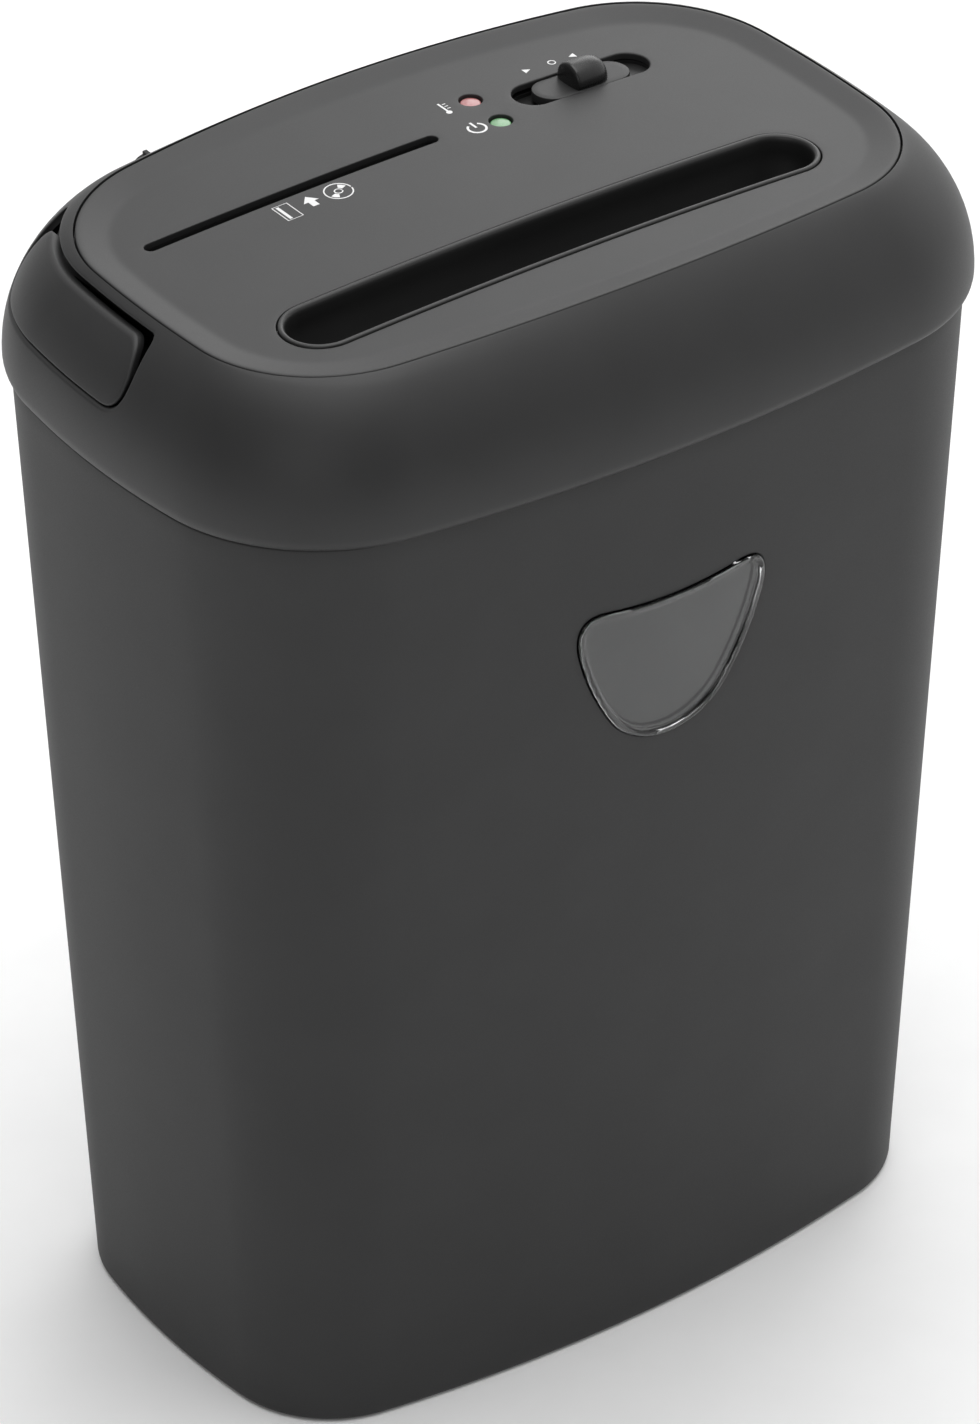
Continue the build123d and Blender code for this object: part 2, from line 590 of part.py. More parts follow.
def cutter_stack(y, first):
    """Blades and spacers of one shaft; first is the x of the first blade."""
    kinds = [cutter_blade(2 * pi / 3 * k / BLADE_KINDS) for k in range(BLADE_KINDS)]
    thick = CUT_PITCH / 2 - 2 * SIDE_CLEARANCE
    ring_thick = CUT_PITCH - thick
    spacer = rod((0, ring_thick), (0, 0), SPACER_R) - hexagon((-1, ring_thick + 1), (0, 0), HEX_FLATS)
    blades, spacers = [], []
    for k in range(CUT_COUNT):
        x = first + k * CUT_PITCH
        if x + thick > CUT_RIGHT:
            break
        blades.append(Pos(x, y, SHAFT_Z) * kinds[k % BLADE_KINDS])
        if x + CUT_PITCH + thick <= CUT_RIGHT:
            spacers.append(Pos(x + thick, y, SHAFT_Z) * spacer)
    return blades, spacers


def cutter_shaft(y, left, right):
    body = hexagon((CUT_LEFT, CUT_RIGHT), (y, SHAFT_Z), HEX_FLATS)
    body += rod((left, CUT_LEFT), (y, SHAFT_Z), JOURNAL_R)
    return body + rod((CUT_RIGHT, right), (y, SHAFT_Z), JOURNAL_R)


def stripper_comb(wall_y, tip_y, first):
    """Comb whose fingers stand in the gaps between one shaft's blades."""
    low, high = SHAFT_Z - 8, SHAFT_Z + 8
    thick = 3.0
    outward = 1 if wall_y > tip_y else -1
    across = sorted((wall_y, wall_y + outward * thick))
    body = block((CUT_LEFT + 4, CUT_RIGHT - 4), across, (low - 2, high + 2))
    blade_thick = CUT_PITCH / 2 - 2 * SIDE_CLEARANCE
    for k in range(CUT_COUNT):
        x = first + k * CUT_PITCH + blade_thick + 0.4
        if CUT_LEFT + 4 < x and x + 3.4 < CUT_RIGHT - 4:
            body += block((x, x + 3.4), sorted((tip_y, wall_y)), (low, high))
    return body


def disc_roller(y, first, left, right):
    body = rod((CUT_LEFT + 1, MIDDLE_PLATE - 1), (y, SHAFT_Z), DISC_CORE_R)
    body += rod((left, right), (y, SHAFT_Z), DISC_JOURNAL_R)
    for k in range(DISC_COUNT):
        x = first + k * DISC_PITCH
        body += rod((x, x + DISC_PITCH / 2 - 0.5), (y, SHAFT_Z), DISC_RING_R)
    return body


FRAME_LOW = BASE_FLOOR_Z + 15.0
FRAME_TOP = SHAFT_Z + 28.0
FRAME_FRONT = FRONT_Y - 18.0
FRAME_BACK = DISC_REAR_Y + 32.0


def bush_places():
    """Every bearing in a frame plate: plate x, centre, journal radius, bush radius."""
    left, right = LEFT_PLATE, RIGHT_PLATE
    places = [(x, (y, SHAFT_Z), JOURNAL_R, BUSH_R) for x in (left, right) for y in (FRONT_Y, REAR_Y)]
    places += [(x, (y, SHAFT_Z), DISC_JOURNAL_R, DISC_BUSH_R)
               for x in (left, MIDDLE_PLATE) for y in (DISC_FRONT_Y, DISC_REAR_Y)]
    return places


def shaft_bushes():
    bushes = []
    for x, centre, journal, outer in bush_places():
        bushes.append(ring((x, x + FRAME_THICK), centre, outer, journal + RUNNING_CLEARANCE))
    return bushes


def drill(body, x):
    for plate, centre, _, outer in bush_places():
        if plate == x:
            body -= rod((x - 1, x + FRAME_THICK + 1), centre, outer + 0.02)
    for centre in TIE_RODS:
        body -= rod((x - 1, x + FRAME_THICK + 1), centre, TIE_R + 0.02)
    return body


TIE_R = 3.5
TIE_RODS = ((FRONT_Y - 14, SHAFT_Z + 22), (REAR_Y + 24, SHAFT_Z + 22), (DISC_REAR_Y + 24.5, SHAFT_Z - 12))


def foot_tab(x, y):
    return block(x, y, (FRAME_LOW, FRAME_LOW + FRAME_THICK))


def frame_plate_left():
    x = (LEFT_PLATE, LEFT_PLATE + FRAME_THICK)
    body = plate_x([(FRAME_FRONT, FRAME_LOW), (FRAME_BACK, FRAME_LOW), (FRAME_BACK, SHAFT_Z + 16),
                    (24, FRAME_TOP), (FRAME_FRONT, FRAME_TOP)], x)
    body += foot_tab((x[0] - 10, x[0]), (-72, -52)) + foot_tab((x[0] - 10, x[0]), (50, 66))
    body = drill(body, LEFT_PLATE)
    return body - rod((x[0] - 1, x[1] + 1), (IDLER_Y, SHAFT_Z), STUD_R + 0.02)


def frame_plate_right():
    x = (RIGHT_PLATE, RIGHT_FACE)
    body = plate_x([(FRAME_FRONT, FRAME_LOW), (FRAME_BACK, FRAME_LOW), (FRAME_BACK + 8, SHAFT_Z),
                    (FRAME_BACK + 8, SHAFT_Z + 48), (42, SHAFT_Z + 48), (24, FRAME_TOP),
                    (FRAME_FRONT, FRAME_TOP)], x)
    body += foot_tab((x[1], x[1] + 10), (-80, -56)) + foot_tab((x[1], x[1] + 10), (70, 78))
    body = drill(body, RIGHT_PLATE)
    hole = (x[0] - 1, x[1] + 1)
    return body - rod(hole, FIRST, STUD_R + 0.02) - rod(hole, SECOND, STUD_R + 0.02) - rod(hole, MOTOR, 9.0)


def disc_plate():
    x = (MIDDLE_PLATE, MIDDLE_PLATE + FRAME_THICK)
    body = block(x, (DISC_FRONT_Y - 14, FRAME_BACK), (BASE_FLOOR_Z + BASE_WALL, SHAFT_Z + 16))
    return drill(body, MIDDLE_PLATE)


def tie_rods():
    return [rod((LEFT_PLATE - 4, RIGHT_FACE + 4), centre, TIE_R) for centre in TIE_RODS]


def tie_nuts():
    nuts = []
    for centre in TIE_RODS:
        for x in ((LEFT_PLATE - 3.5, LEFT_PLATE), (RIGHT_FACE, RIGHT_FACE + 3.5)):
            nuts.append(hexagon(x, centre, 11.0) - rod((x[0] - 1, x[1] + 1), centre, TIE_R + 0.02))
    return nuts


def frame_mounts():
    """Rubber blocks between the frame's feet and the base."""
    z = (BASE_FLOOR_Z + BASE_WALL, FRAME_LOW)
    places = [(LEFT_PLATE - 5, -62), (LEFT_PLATE - 5, 58), (RIGHT_FACE + 5, -68), (RIGHT_FACE + 5, 74)]
    return [post(x, y, z, 4.0) for x, y in places]


# ================= drive =================
SYNC_X = (RIGHT_FACE + 2, RIGHT_FACE + 8)
STAGE_ONE_X = (RIGHT_FACE + 2, RIGHT_FACE + 7)
STAGE_TWO_X = (RIGHT_FACE + 9, RIGHT_FACE + 15)
STAGE_THREE_X = (RIGHT_FACE + 17, RIGHT_FACE + 25)
GEAR_PLATE_X = (RIGHT_FACE + 27, RIGHT_FACE + 29.5)
LEFT_GEAR_X = (LEFT_PLATE - 9, LEFT_PLATE - 2)
DISC_SYNC_X = (MIDDLE_PLATE + 4, MIDDLE_PLATE + 9.5)


def first_gear(phase):
    """Compound gear: driven by the pinion, drives the second gear."""
    bore = STUD_R + RUNNING_CLEARANCE
    big = gear_solid(FIRST_BIG, STAGE_ONE_X, FIRST, bore, 0.0)
    small = gear_solid(FIRST_SMALL, STAGE_TWO_X, FIRST, bore, phase["first_small"])
    return big + small + ring((STAGE_ONE_X[1], STAGE_TWO_X[0]), FIRST, 6.5, bore)


def second_gear(phase):
    bore = STUD_R + RUNNING_CLEARANCE
    big = gear_solid(SECOND_BIG, STAGE_TWO_X, SECOND, bore, 0.0)
    small = gear_solid(SECOND_SMALL, STAGE_THREE_X, SECOND, bore, phase["second_small"])
    return big + small + ring((STAGE_TWO_X[1], STAGE_THREE_X[0]), SECOND, 6.5, bore)


def gear_studs():
    span = (RIGHT_PLATE, GEAR_PLATE_X[1])
    idler = rod((LEFT_GEAR_X[0] - 2, LEFT_PLATE + FRAME_THICK), (IDLER_Y, SHAFT_Z), STUD_R)
    return [rod(span, FIRST, STUD_R), rod(span, SECOND, STUD_R), idler]


def stud_clips():
    x = (LEFT_GEAR_X[0] - 1.4, LEFT_GEAR_X[0] - 0.4)
    clips = [ring(x, (IDLER_Y, SHAFT_Z), 6.5, STUD_R)]
    for centre in (FIRST, SECOND):
        start = GEAR_PLATE_X[0] - 1.2
        clips.append(ring((start, start + 1), centre, 6.5, STUD_R))
    return clips


def gear_plate():
    points = [(FRONT_Y - 2, -22), (80, -16), (80, 12), (28, 50), (8, 50), (FRONT_Y - 2, 16)]
    body = plate_x([(y, SHAFT_Z + z) for y, z in points], GEAR_PLATE_X)
    hole = (GEAR_PLATE_X[0] - 1, GEAR_PLATE_X[1] + 1)
    for centre in (FIRST, SECOND):
        body -= rod(hole, centre, STUD_R + 0.02)
    return body - rod(hole, (REAR_Y, SHAFT_Z), JOURNAL_R + RUNNING_CLEARANCE)


def motor_can():
    x = (RIGHT_PLATE - MOTOR_LENGTH, RIGHT_PLATE)
    body = rod(x, MOTOR, MOTOR_R) - rod((x[0] - 1, x[1] - 3), MOTOR, MOTOR_R - MOTOR_WALL)
    return body - rod((x[1] - 5, x[1] + 1), MOTOR, MOTOR_SHAFT_R + RUNNING_CLEARANCE)


def motor_magnets():
    """Two curved magnets inside the can."""
    x = (RIGHT_PLATE - 66, RIGHT_PLATE - 12)
    outer = MOTOR_R - MOTOR_WALL - 0.05
    tube = ring(x, MOTOR, outer, ARMATURE_R + 0.8)
    split = block((0, 200), (MOTOR[0] - 6, MOTOR[0] + 6), (MOTOR[1] - 40, MOTOR[1] + 40))
    return tube - split


def motor_end_cap():
    x = RIGHT_PLATE - MOTOR_LENGTH
    body = rod((x - 3, x), MOTOR, MOTOR_R)
    body += ring((x, x + 8), MOTOR, MOTOR_R - MOTOR_WALL - 0.05, MOTOR_R - 6)
    return body - rod((x - 4, x + 9), MOTOR, MOTOR_SHAFT_R + RUNNING_CLEARANCE)


def motor_armature():
    body = rod((RIGHT_PLATE - 64, RIGHT_PLATE - 14), MOTOR, ARMATURE_R)
    body += rod((RIGHT_PLATE - 74, RIGHT_PLATE - 64), MOTOR, 8.0)
    return body - rod((0, 200), MOTOR, MOTOR_SHAFT_R)


def motor_shaft():
    return rod((RIGHT_PLATE - MOTOR_LENGTH - 12, STAGE_ONE_X[1] + 1), MOTOR, MOTOR_SHAFT_R)


def motor_fan():
    start = RIGHT_PLATE - MOTOR_LENGTH - 10
    body = rod((start, start + 1.2), MOTOR, 21.0) + rod((start, start + 5), MOTOR, 6.0)
    vane = block((start + 1, start + 5), (MOTOR[0] + 5, MOTOR[0] + 20), (MOTOR[1] - 0.6, MOTOR[1] + 0.6))
    axle = Axis((0, MOTOR[0], MOTOR[1]), (1, 0, 0))
    for k in range(8):
        body += vane.rotate(axle, 45 * k)
    return body - rod((0, 60), MOTOR, MOTOR_SHAFT_R)


# ================= controls and electrics =================
BOARD_Z = (CROWN_Z - 29.3, CROWN_Z - 27.7)
FLAT_AT_SWITCH = crown_height(SWITCH_CENTRE[0], DISH_DEPTH)
SLIDER_TOP = FLAT_AT_SWITCH - SLIDER_DROP
TRAY_TOP = crown_height(SWITCH_CENTRE[0] + SWITCH_LENGTH / 2 + 3, PLATE_THICK) - 0.1
TRAY_FLOOR = SLIDER_TOP - SLIDER_THICK - 0.4


def switch_tray():
    """Pan under the top plate in which the mode slider runs."""
    length, width = SWITCH_LENGTH, SWITCH_WIDTH
    body = stadium(length + 5, width + 5, SWITCH_CENTRE, (TRAY_FLOOR - 2, TRAY_TOP))
    body -= stadium(length, width, SWITCH_CENTRE, (TRAY_FLOOR, TRAY_TOP + 1))
    return body - stadium(2 * SWITCH_TRAVEL + 8, 5.0, SWITCH_CENTRE, (TRAY_FLOOR - 3, TRAY_FLOOR + 1))


def mode_slider():
    x, y = SWITCH_CENTRE
    plate = (SLIDER_TOP - SLIDER_THICK, SLIDER_TOP)
    body = stadium(SLIDER_LENGTH, SWITCH_WIDTH - 2 * 0.7, SWITCH_CENTRE, plate)
    knob = block((x + KNOB_X[0], x + KNOB_X[1]), (y - KNOB_WIDTH / 2, y + KNOB_WIDTH / 2),
                 (SLIDER_TOP - 0.5, SLIDER_TOP + KNOB_RISE))
    knob = fillet(knob.edges().filter_by(Axis.X).group_by(Axis.Z)[-1], KNOB_ROUND)
    return body + knob + block((x - 3, x + 3), (y - 2, y + 2), (BOARD_Z[1] + 8.4, plate[0] + 1))


def mode_switch():
    x, y = SWITCH_CENTRE
    top = BOARD_Z[1] + 12.4
    body = block((x - 17, x + 17), (y - 7, y + 7), (BOARD_Z[1], top))
    return body - block((x - SWITCH_TRAVEL - 4, x + SWITCH_TRAVEL + 4), (y - 3, y + 3), (top - 7, top + 1))


def led(y):
    flat = crown_height(LED_X, DISH_DEPTH)
    lens = post(LED_X, y, (flat - 6.0, flat - LED_DROP), LED_R)
    lens = fillet(lens.edges().group_by(Axis.Z)[-1], 1.2)
    return lens + post(LED_X, y, (BOARD_Z[1], flat - 6.0), 2.5)


BOARD_POSTS = ((15.0, 62.0), (15.0, 31.0), (104.0, 64.0), (104.0, 29.0))


def control_board():
    return block((10, 109), (26, 68), BOARD_Z)


def board_posts():
    return [post(x, y, (BOARD_Z[1], crown_height(x, PLATE_THICK) - 0.15), 2.8) for x, y in BOARD_POSTS]


def board_components():
    """Relay, capacitor and terminal block soldered to the board."""
    relay = block((94, 108), (34, 55), (BOARD_Z[1], BOARD_Z[1] + 10.4))
    capacitor = post(47, 33, (BOARD_Z[1], BOARD_Z[1] + 12.4), 5.0)
    terminal = block((84, 99), (59, 67), (BOARD_Z[1], BOARD_Z[1] + 8.4))
    return [relay, capacitor, terminal]


def paper_sensor():
    """Emitter and receiver facing each other across the throat's neck."""
    x = sum(THROAT_NECK_X) / 2
    gap = THROAT_NECK / 2 + 1.8 + 0.2
    z = (THROAT_END_Z + 2, THROAT_NECK_Z - 2)
    halves = []
    for side in (-1, 1):
        y = sorted((NIP_Y + side * gap, NIP_Y + side * (gap + 4)))
        halves.append(block((x - 5, x + 5), y, z))
    return halves


PLUNGER_X = RIM_OUTLINE[0] - 9.7
PLUNGER_R = 2.5
PLUNGER_TRAVEL = 3.0
INTERLOCK_LOW = BIN_HEIGHT + 9.7


def interlock_plunger():
    collar = (BIN_HEIGHT + FLANGE_THICK + PLUNGER_TRAVEL + 0.4, INTERLOCK_LOW - 1)
    body = post(PLUNGER_X, 0, (BIN_HEIGHT + FIXED_CLEARANCE, INTERLOCK_LOW + 5), PLUNGER_R)
    return body + post(PLUNGER_X, 0, collar, PLUNGER_R + 1.5)


def interlock_switch():
    inner = PLUNGER_X - 11
    body = block((inner, PLUNGER_X + 3.5), (-7, 7), (INTERLOCK_LOW, INTERLOCK_LOW + 15))
    body -= block((PLUNGER_X - 3.2, PLUNGER_X + 3.2), (-3.2, 3.2), (INTERLOCK_LOW - 1, INTERLOCK_LOW + 6))
    return body + block((inner, inner + 4), (-7, 7), (BIN_HEIGHT + FLANGE_THICK, INTERLOCK_LOW))


GLAND_X = -75.6
GLAND_Z = BIN_HEIGHT + 33.0
GLAND_Y = (HALF_DEPTH - 26.5, HALF_DEPTH - 0.5)
GLAND_R = 7.0
CORD_HOLE_R = 3.6
KEY_WIDTH = 1.8
KEY_RISE = 1.3
KEY_LENGTH = 5.5


def gland_hole(radius):
    return gland_tube((GLAND_Y[0] - 10, GLAND_Y[1] + 20), radius)


def gland_tube(y, radius):
    return Pos(GLAND_X, sum(y) / 2, GLAND_Z) * Rot(90, 0, 0) * Cylinder(radius, y[1] - y[0])


def cord_gland():
    """Cable inlet in the back of the head: a grommet with a flange inside and a keyed collar."""
    inner, outer = GLAND_Y
    body = gland_tube(GLAND_Y, GLAND_R) + gland_tube((inner, inner + 4), GLAND_R + 3)
    body += block((GLAND_X - KEY_WIDTH / 2, GLAND_X + KEY_WIDTH / 2), (outer - KEY_LENGTH, outer),
                  (GLAND_Z + CORD_HOLE_R + 1, GLAND_Z + GLAND_R + KEY_RISE))
    return body - gland_tube((inner - 1, GLAND_Y[1] + 6), CORD_HOLE_R)


def cover_screws():
    """Screws up through the base flange into the cover's posts, heads sunk in the flange."""
    head = (BIN_HEIGHT + 0.2, BIN_HEIGHT + SCREW_SINK)
    return [post(x, y, head, SCREW_HEAD_R) + post(x, y, (head[1], BIN_HEIGHT + 16), SCREW_R)
            for x, y in SCREW_PLACES]


def main():
    os.makedirs("parts", exist_ok=True)
    phase = gear_phases()
    front, rear = (FRONT_Y, SHAFT_Z), (REAR_Y, SHAFT_Z)
    save("bin_shell", bin_shell())
    save("window_lens", window_lens())

    save("head_cover", head_cover())
    save("top_plate", top_plate())
    save("throat_guide", throat_guide())
    save("disc_chute", disc_chute())
    save("head_base", head_base())
    save("handle_pocket", handle_pocket())
    save("carry_handle", carry_handle())
    save("handle_stops", handle_stops())

    save("frame_plate_left", frame_plate_left())
    save("frame_plate_right", frame_plate_right())
    save("disc_plate", disc_plate())
    save("shaft_bushes", shaft_bushes())
    save("tie_rods", tie_rods())
    save("tie_nuts", tie_nuts())
    save("frame_mounts", frame_mounts())

    rear_first = CUT_LEFT + CUT_PITCH / 2
    for name, y, first, ends in (("front", FRONT_Y, CUT_LEFT, (LEFT_PLATE - 1, SYNC_X[1] + 0.5)),
                                 ("rear", REAR_Y, rear_first, (LEFT_GEAR_X[0] - 1, GEAR_PLATE_X[1] + 1))):
        blades, spacers = cutter_stack(y, first)
        save(f"cutter_blades_{name}", blades)
        save(f"cutter_spacers_{name}", spacers)
        save(f"cutter_shaft_{name}", cutter_shaft(y, *ends))
    save("stripper_comb_front", stripper_comb(FRONT_Y - CUTTER_R - 1.0, FRONT_Y - SPACER_R - 0.8, CUT_LEFT))
    save("stripper_comb_rear", stripper_comb(REAR_Y + CUTTER_R + 1.0, REAR_Y + SPACER_R + 0.8, rear_first))
    save("sync_gear_front", gear_solid(SYNC, SYNC_X, front, JOURNAL_R, phase["front"]))
    save("sync_gear_rear", gear_solid(SYNC, SYNC_X, rear, JOURNAL_R, phase["rear"]))
    save("drive_gear", gear_solid(DRIVE, STAGE_THREE_X, rear, JOURNAL_R, 0.0))
    save("take_off_gear", gear_solid(TAKE_OFF, LEFT_GEAR_X, rear, JOURNAL_R, 0.0))
    save("disc_idler_gear", gear_solid(DISC_IDLER, LEFT_GEAR_X, (IDLER_Y, SHAFT_Z),
                                       STUD_R + RUNNING_CLEARANCE, phase["idler"]))

    disc_sync = (DISC_SYNC_TEETH, DISC_SPACING / DISC_SYNC_TEETH)
    disc_front, disc_rear = (DISC_FRONT_Y, SHAFT_Z), (DISC_REAR_Y, SHAFT_Z)
    first, last = CUT_LEFT + 2, DISC_SYNC_X[1] + 1
    save("disc_roller_front", disc_roller(DISC_FRONT_Y, first, LEFT_GEAR_X[0] - 1, last))
    save("disc_roller_rear", disc_roller(DISC_REAR_Y, first + DISC_PITCH / 2, LEFT_PLATE - 1, last))
    save("disc_drive_gear", gear_solid(TAKE_OFF, LEFT_GEAR_X, disc_front, DISC_JOURNAL_R,
                                       phase["disc_gear"]))
    save("disc_sync_gear_front", gear_solid(disc_sync, DISC_SYNC_X, disc_front, DISC_JOURNAL_R, 0.0))
    save("disc_sync_gear_rear", gear_solid(disc_sync, DISC_SYNC_X, disc_rear, DISC_JOURNAL_R,
                                           phase["disc_sync"]))

    save("first_gear", first_gear(phase))
    save("second_gear", second_gear(phase))
    save("gear_studs", gear_studs())
    save("stud_clips", stud_clips())
    save("gear_plate", gear_plate())
    save("motor_can", motor_can())
    save("motor_magnets", motor_magnets())
    save("motor_end_cap", motor_end_cap())
    save("motor_armature", motor_armature())
    save("motor_shaft", motor_shaft())
    save("motor_pinion", gear_solid(PINION, STAGE_ONE_X, MOTOR, MOTOR_SHAFT_R, phase["pinion"]))
    save("motor_fan", motor_fan())

    save("switch_tray", switch_tray())
    save("mode_slider", mode_slider())
    save("mode_switch", mode_switch())
    save("led_overheat", led(LED_OVERHEAT_Y))
    save("led_power", led(LED_POWER_Y))
    save("control_board", control_board())
    save("board_posts", board_posts())
    save("board_components", board_components())
    save("paper_sensor", paper_sensor())
    save("interlock_plunger", interlock_plunger())
    save("interlock_switch", interlock_switch())
    save("cord_gland", cord_gland())
    save("cover_screws", cover_screws())


main()
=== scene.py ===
import json
from functools import lru_cache
from math import asin, atan2, cos, pi, radians, sin, sqrt

import bmesh
import bpy
import numpy as np
from mathutils import Matrix, Vector
from mathutils.geometry import delaunay_2d_cdt


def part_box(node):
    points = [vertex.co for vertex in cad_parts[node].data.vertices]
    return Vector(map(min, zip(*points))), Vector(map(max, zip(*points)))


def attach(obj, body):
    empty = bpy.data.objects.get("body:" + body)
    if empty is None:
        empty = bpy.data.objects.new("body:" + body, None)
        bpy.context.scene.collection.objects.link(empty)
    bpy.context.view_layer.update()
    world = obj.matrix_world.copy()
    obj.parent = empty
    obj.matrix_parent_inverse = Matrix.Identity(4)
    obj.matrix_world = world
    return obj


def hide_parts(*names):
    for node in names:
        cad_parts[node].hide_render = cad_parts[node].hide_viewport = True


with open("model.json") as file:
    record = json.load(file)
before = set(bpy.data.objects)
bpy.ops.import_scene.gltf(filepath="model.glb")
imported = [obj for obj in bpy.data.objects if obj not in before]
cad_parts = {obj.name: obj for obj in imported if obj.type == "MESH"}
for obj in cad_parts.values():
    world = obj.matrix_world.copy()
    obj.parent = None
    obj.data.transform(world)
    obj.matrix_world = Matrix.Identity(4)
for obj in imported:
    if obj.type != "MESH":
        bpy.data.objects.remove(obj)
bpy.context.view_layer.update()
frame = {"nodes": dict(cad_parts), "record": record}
MM = 0.001

# Shapes below are worked out in millimetres in the CAD's frame and scaled to metres when a mesh is made.


def cad(node):
    """Lowest and highest corner of a CAD node, in millimetres."""
    low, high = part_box(node)
    return [c / MM for c in low], [c / MM for c in high]


# ---- outlines: half length, half depth, bow of the ends, bow of the sides, corner radius ----
COVER_LOW, COVER_HIGH = cad("head_cover")
HALF_LENGTH, HALF_DEPTH = COVER_HIGH[0], COVER_HIGH[1]
BASE = (HALF_LENGTH - 20.9, HALF_DEPTH - 24.3, 9.8, 17.6, 49.5)
RIM = (HALF_LENGTH - 2.2, HALF_DEPTH - 5.1, 13.8, 19.4, 71.9)
WIDEST = (HALF_LENGTH, HALF_DEPTH, 15.5, 17.0, 77.6)
SEAM = (HALF_LENGTH - 26.9, HALF_DEPTH - 26.9, 5.7, 15.3, 59.7)

# ---- levels ----
BIN_TOP = cad("bin_shell")[1][2]
SKIRT = COVER_LOW[2]
WIDEST_Z = BIN_TOP + 6.2
CROWN_RISE = 4.8
CROWN = WIDEST_Z + 51.0 + CROWN_RISE
CROWN_R = (SEAM[0] ** 2 + CROWN_RISE ** 2) / (2 * CROWN_RISE)
WALL = 2.6
DISH = 2.5
DISH_BAND = 12.5

# ---- top openings ----
SLOT_CENTRE = (-4.5, -46.0)
SLOT_SIZE = (245.2, 33.2)
DISC_SLOT_CENTRE = (-64.5, 39.0)
DISC_SLOT_SIZE = (134.0, 5.6)
SWITCH_CENTRE = (75.4, 45.2)
SWITCH_SIZE = (62.5, 17.5)
LIGHT_X = 30.0
LIGHT_Y = {"led_overheat": 55.2, "led_power": 35.4}
LIGHT_R = 4.7

# ---- handle ----
HANDLE_Y = 37.0
HANDLE_HALF = 51.5
HANDLE_LOW = BIN_TOP + 27.5
HANDLE_TOP = CROWN - 10.5

# ---- window: a rounded foot that widens to two raised top corners ----
WINDOW_LOW = BIN_TOP - 130.0
WINDOW_FOOT = (27.5, WINDOW_LOW + 14.7)
WINDOW_CORNER = (46.5, WINDOW_LOW + 70.2)
WINDOW_DIP = 6.0
WINDOW_ROUND = 17.0

# ---- mesh fineness ----
AROUND = 240       # steps once round the bin and the head
ARC_SCALE = 265.0  # about the length of one quarter of the outline, for spreading points evenly
HEAD_SCALE = 58.0  # about the length from the widest level to the seam, for the same


# ================= outlines =================
@lru_cache(maxsize=None)
def outline_arcs(size):
    """The arcs of one quarter: end arc, corner arc and side arc, as centre, radius and two angles."""
    a, b, bow_x, bow_y, corner = size
    end_r = ((b - bow_y) ** 2 + bow_x ** 2) / (2 * bow_x)
    side_r = ((a - bow_x) ** 2 + bow_y ** 2) / (2 * bow_y)
    end, side = Vector((a - end_r, 0)), Vector((0, b - side_r))
    apart = side - end
    span = apart.length
    along = ((end_r - corner) ** 2 - (side_r - corner) ** 2 + span ** 2) / (2 * span)
    across = sqrt((end_r - corner) ** 2 - along ** 2)
    unit = apart / span
    centre = end + unit * along + Vector((unit.y, -unit.x)) * across
    if centre.y < 0 or centre.x < 0:
        centre = end + unit * along - Vector((unit.y, -unit.x)) * across
    low = atan2(centre.y - end.y, centre.x - end.x)
    high = atan2(centre.y - side.y, centre.x - side.x)
    return ((end, end_r, 0.0, low), (centre, corner, low, high), (side, side_r, high, pi / 2))


QUARTER_BREAKS = (0.0, 0.17, 0.56, 1.0)   # shares of a quarter at which its arcs meet


def outline_point(size, s):
    """Point on an outline; s runs from 0 to 4 anticlockwise from the middle of the right end."""
    quarter = int(s) % 4
    share = s - int(s)
    if quarter % 2:
        share = 1 - share
    k = 0 if share < QUARTER_BREAKS[1] else 1 if share < QUARTER_BREAKS[2] else 2
    centre, radius, start, stop = outline_arcs(size)[k]
    part = (share - QUARTER_BREAKS[k]) / (QUARTER_BREAKS[k + 1] - QUARTER_BREAKS[k])
    angle = start + (stop - start) * part
    x, y = centre.x + radius * cos(angle), centre.y + radius * sin(angle)
    return (x if quarter in (0, 3) else -x, y if quarter < 2 else -y)


def inset(size, distance):
    return (size[0] - distance, size[1] - distance, size[2], size[3], size[4] - distance)


def mix(start, end, share):
    return tuple(p + (q - p) * share for p, q in zip(start, end))


def outline_ring(size, count):
    return [outline_point(size, 4 * k / count) for k in range(count)]


def stadium(length, width, centre, count=96):
    """Slot outline: two straight sides and two half rounds."""
    radius, half = width / 2, (length - width) / 2
    quarter = count // 4
    points = []
    for k in range(quarter):
        points.append((half * (1 - 2 * k / quarter), radius))
    for k in range(quarter):
        angle = pi / 2 + pi * k / quarter
        points.append((-half + radius * cos(angle), radius * sin(angle)))
    for k in range(quarter):
        points.append((half * (2 * k / quarter - 1), -radius))
    for k in range(quarter):
        angle = -pi / 2 + pi * k / quarter
        points.append((half + radius * cos(angle), radius * sin(angle)))
    return [(centre[0] + x, centre[1] + y) for x, y in points]


def circle(centre, radius, count=48):
    return [(centre[0] + radius * cos(2 * pi * k / count), centre[1] + radius * sin(2 * pi * k / count))
            for k in range(count)]


def tangent_arc(start, heading, end, count):
    """Points of the arc that leaves start along heading and reaches end; start itself is left out."""
    start, end, heading = Vector(start), Vector(end), Vector(heading).normalized()
    chord = end - start
    normal = Vector((-heading.y, heading.x))
    bend = chord.dot(normal)
    radius = chord.length_squared / (2 * bend)
    centre = start + normal * radius
    first = atan2(start.y - centre.y, start.x - centre.x)
    turn = atan2(end.y - centre.y, end.x - centre.x) - first
    turn = turn % (2 * pi) if radius > 0 else -((-turn) % (2 * pi))
    points = []
    for k in range(1, count + 1):
        angle = first + turn * k / count
        points.append((centre.x + abs(radius) * cos(angle), centre.y + abs(radius) * sin(angle)))
    last = first + turn
    way = 1 if radius > 0 else -1
    return points, (-sin(last) * way, cos(last) * way)


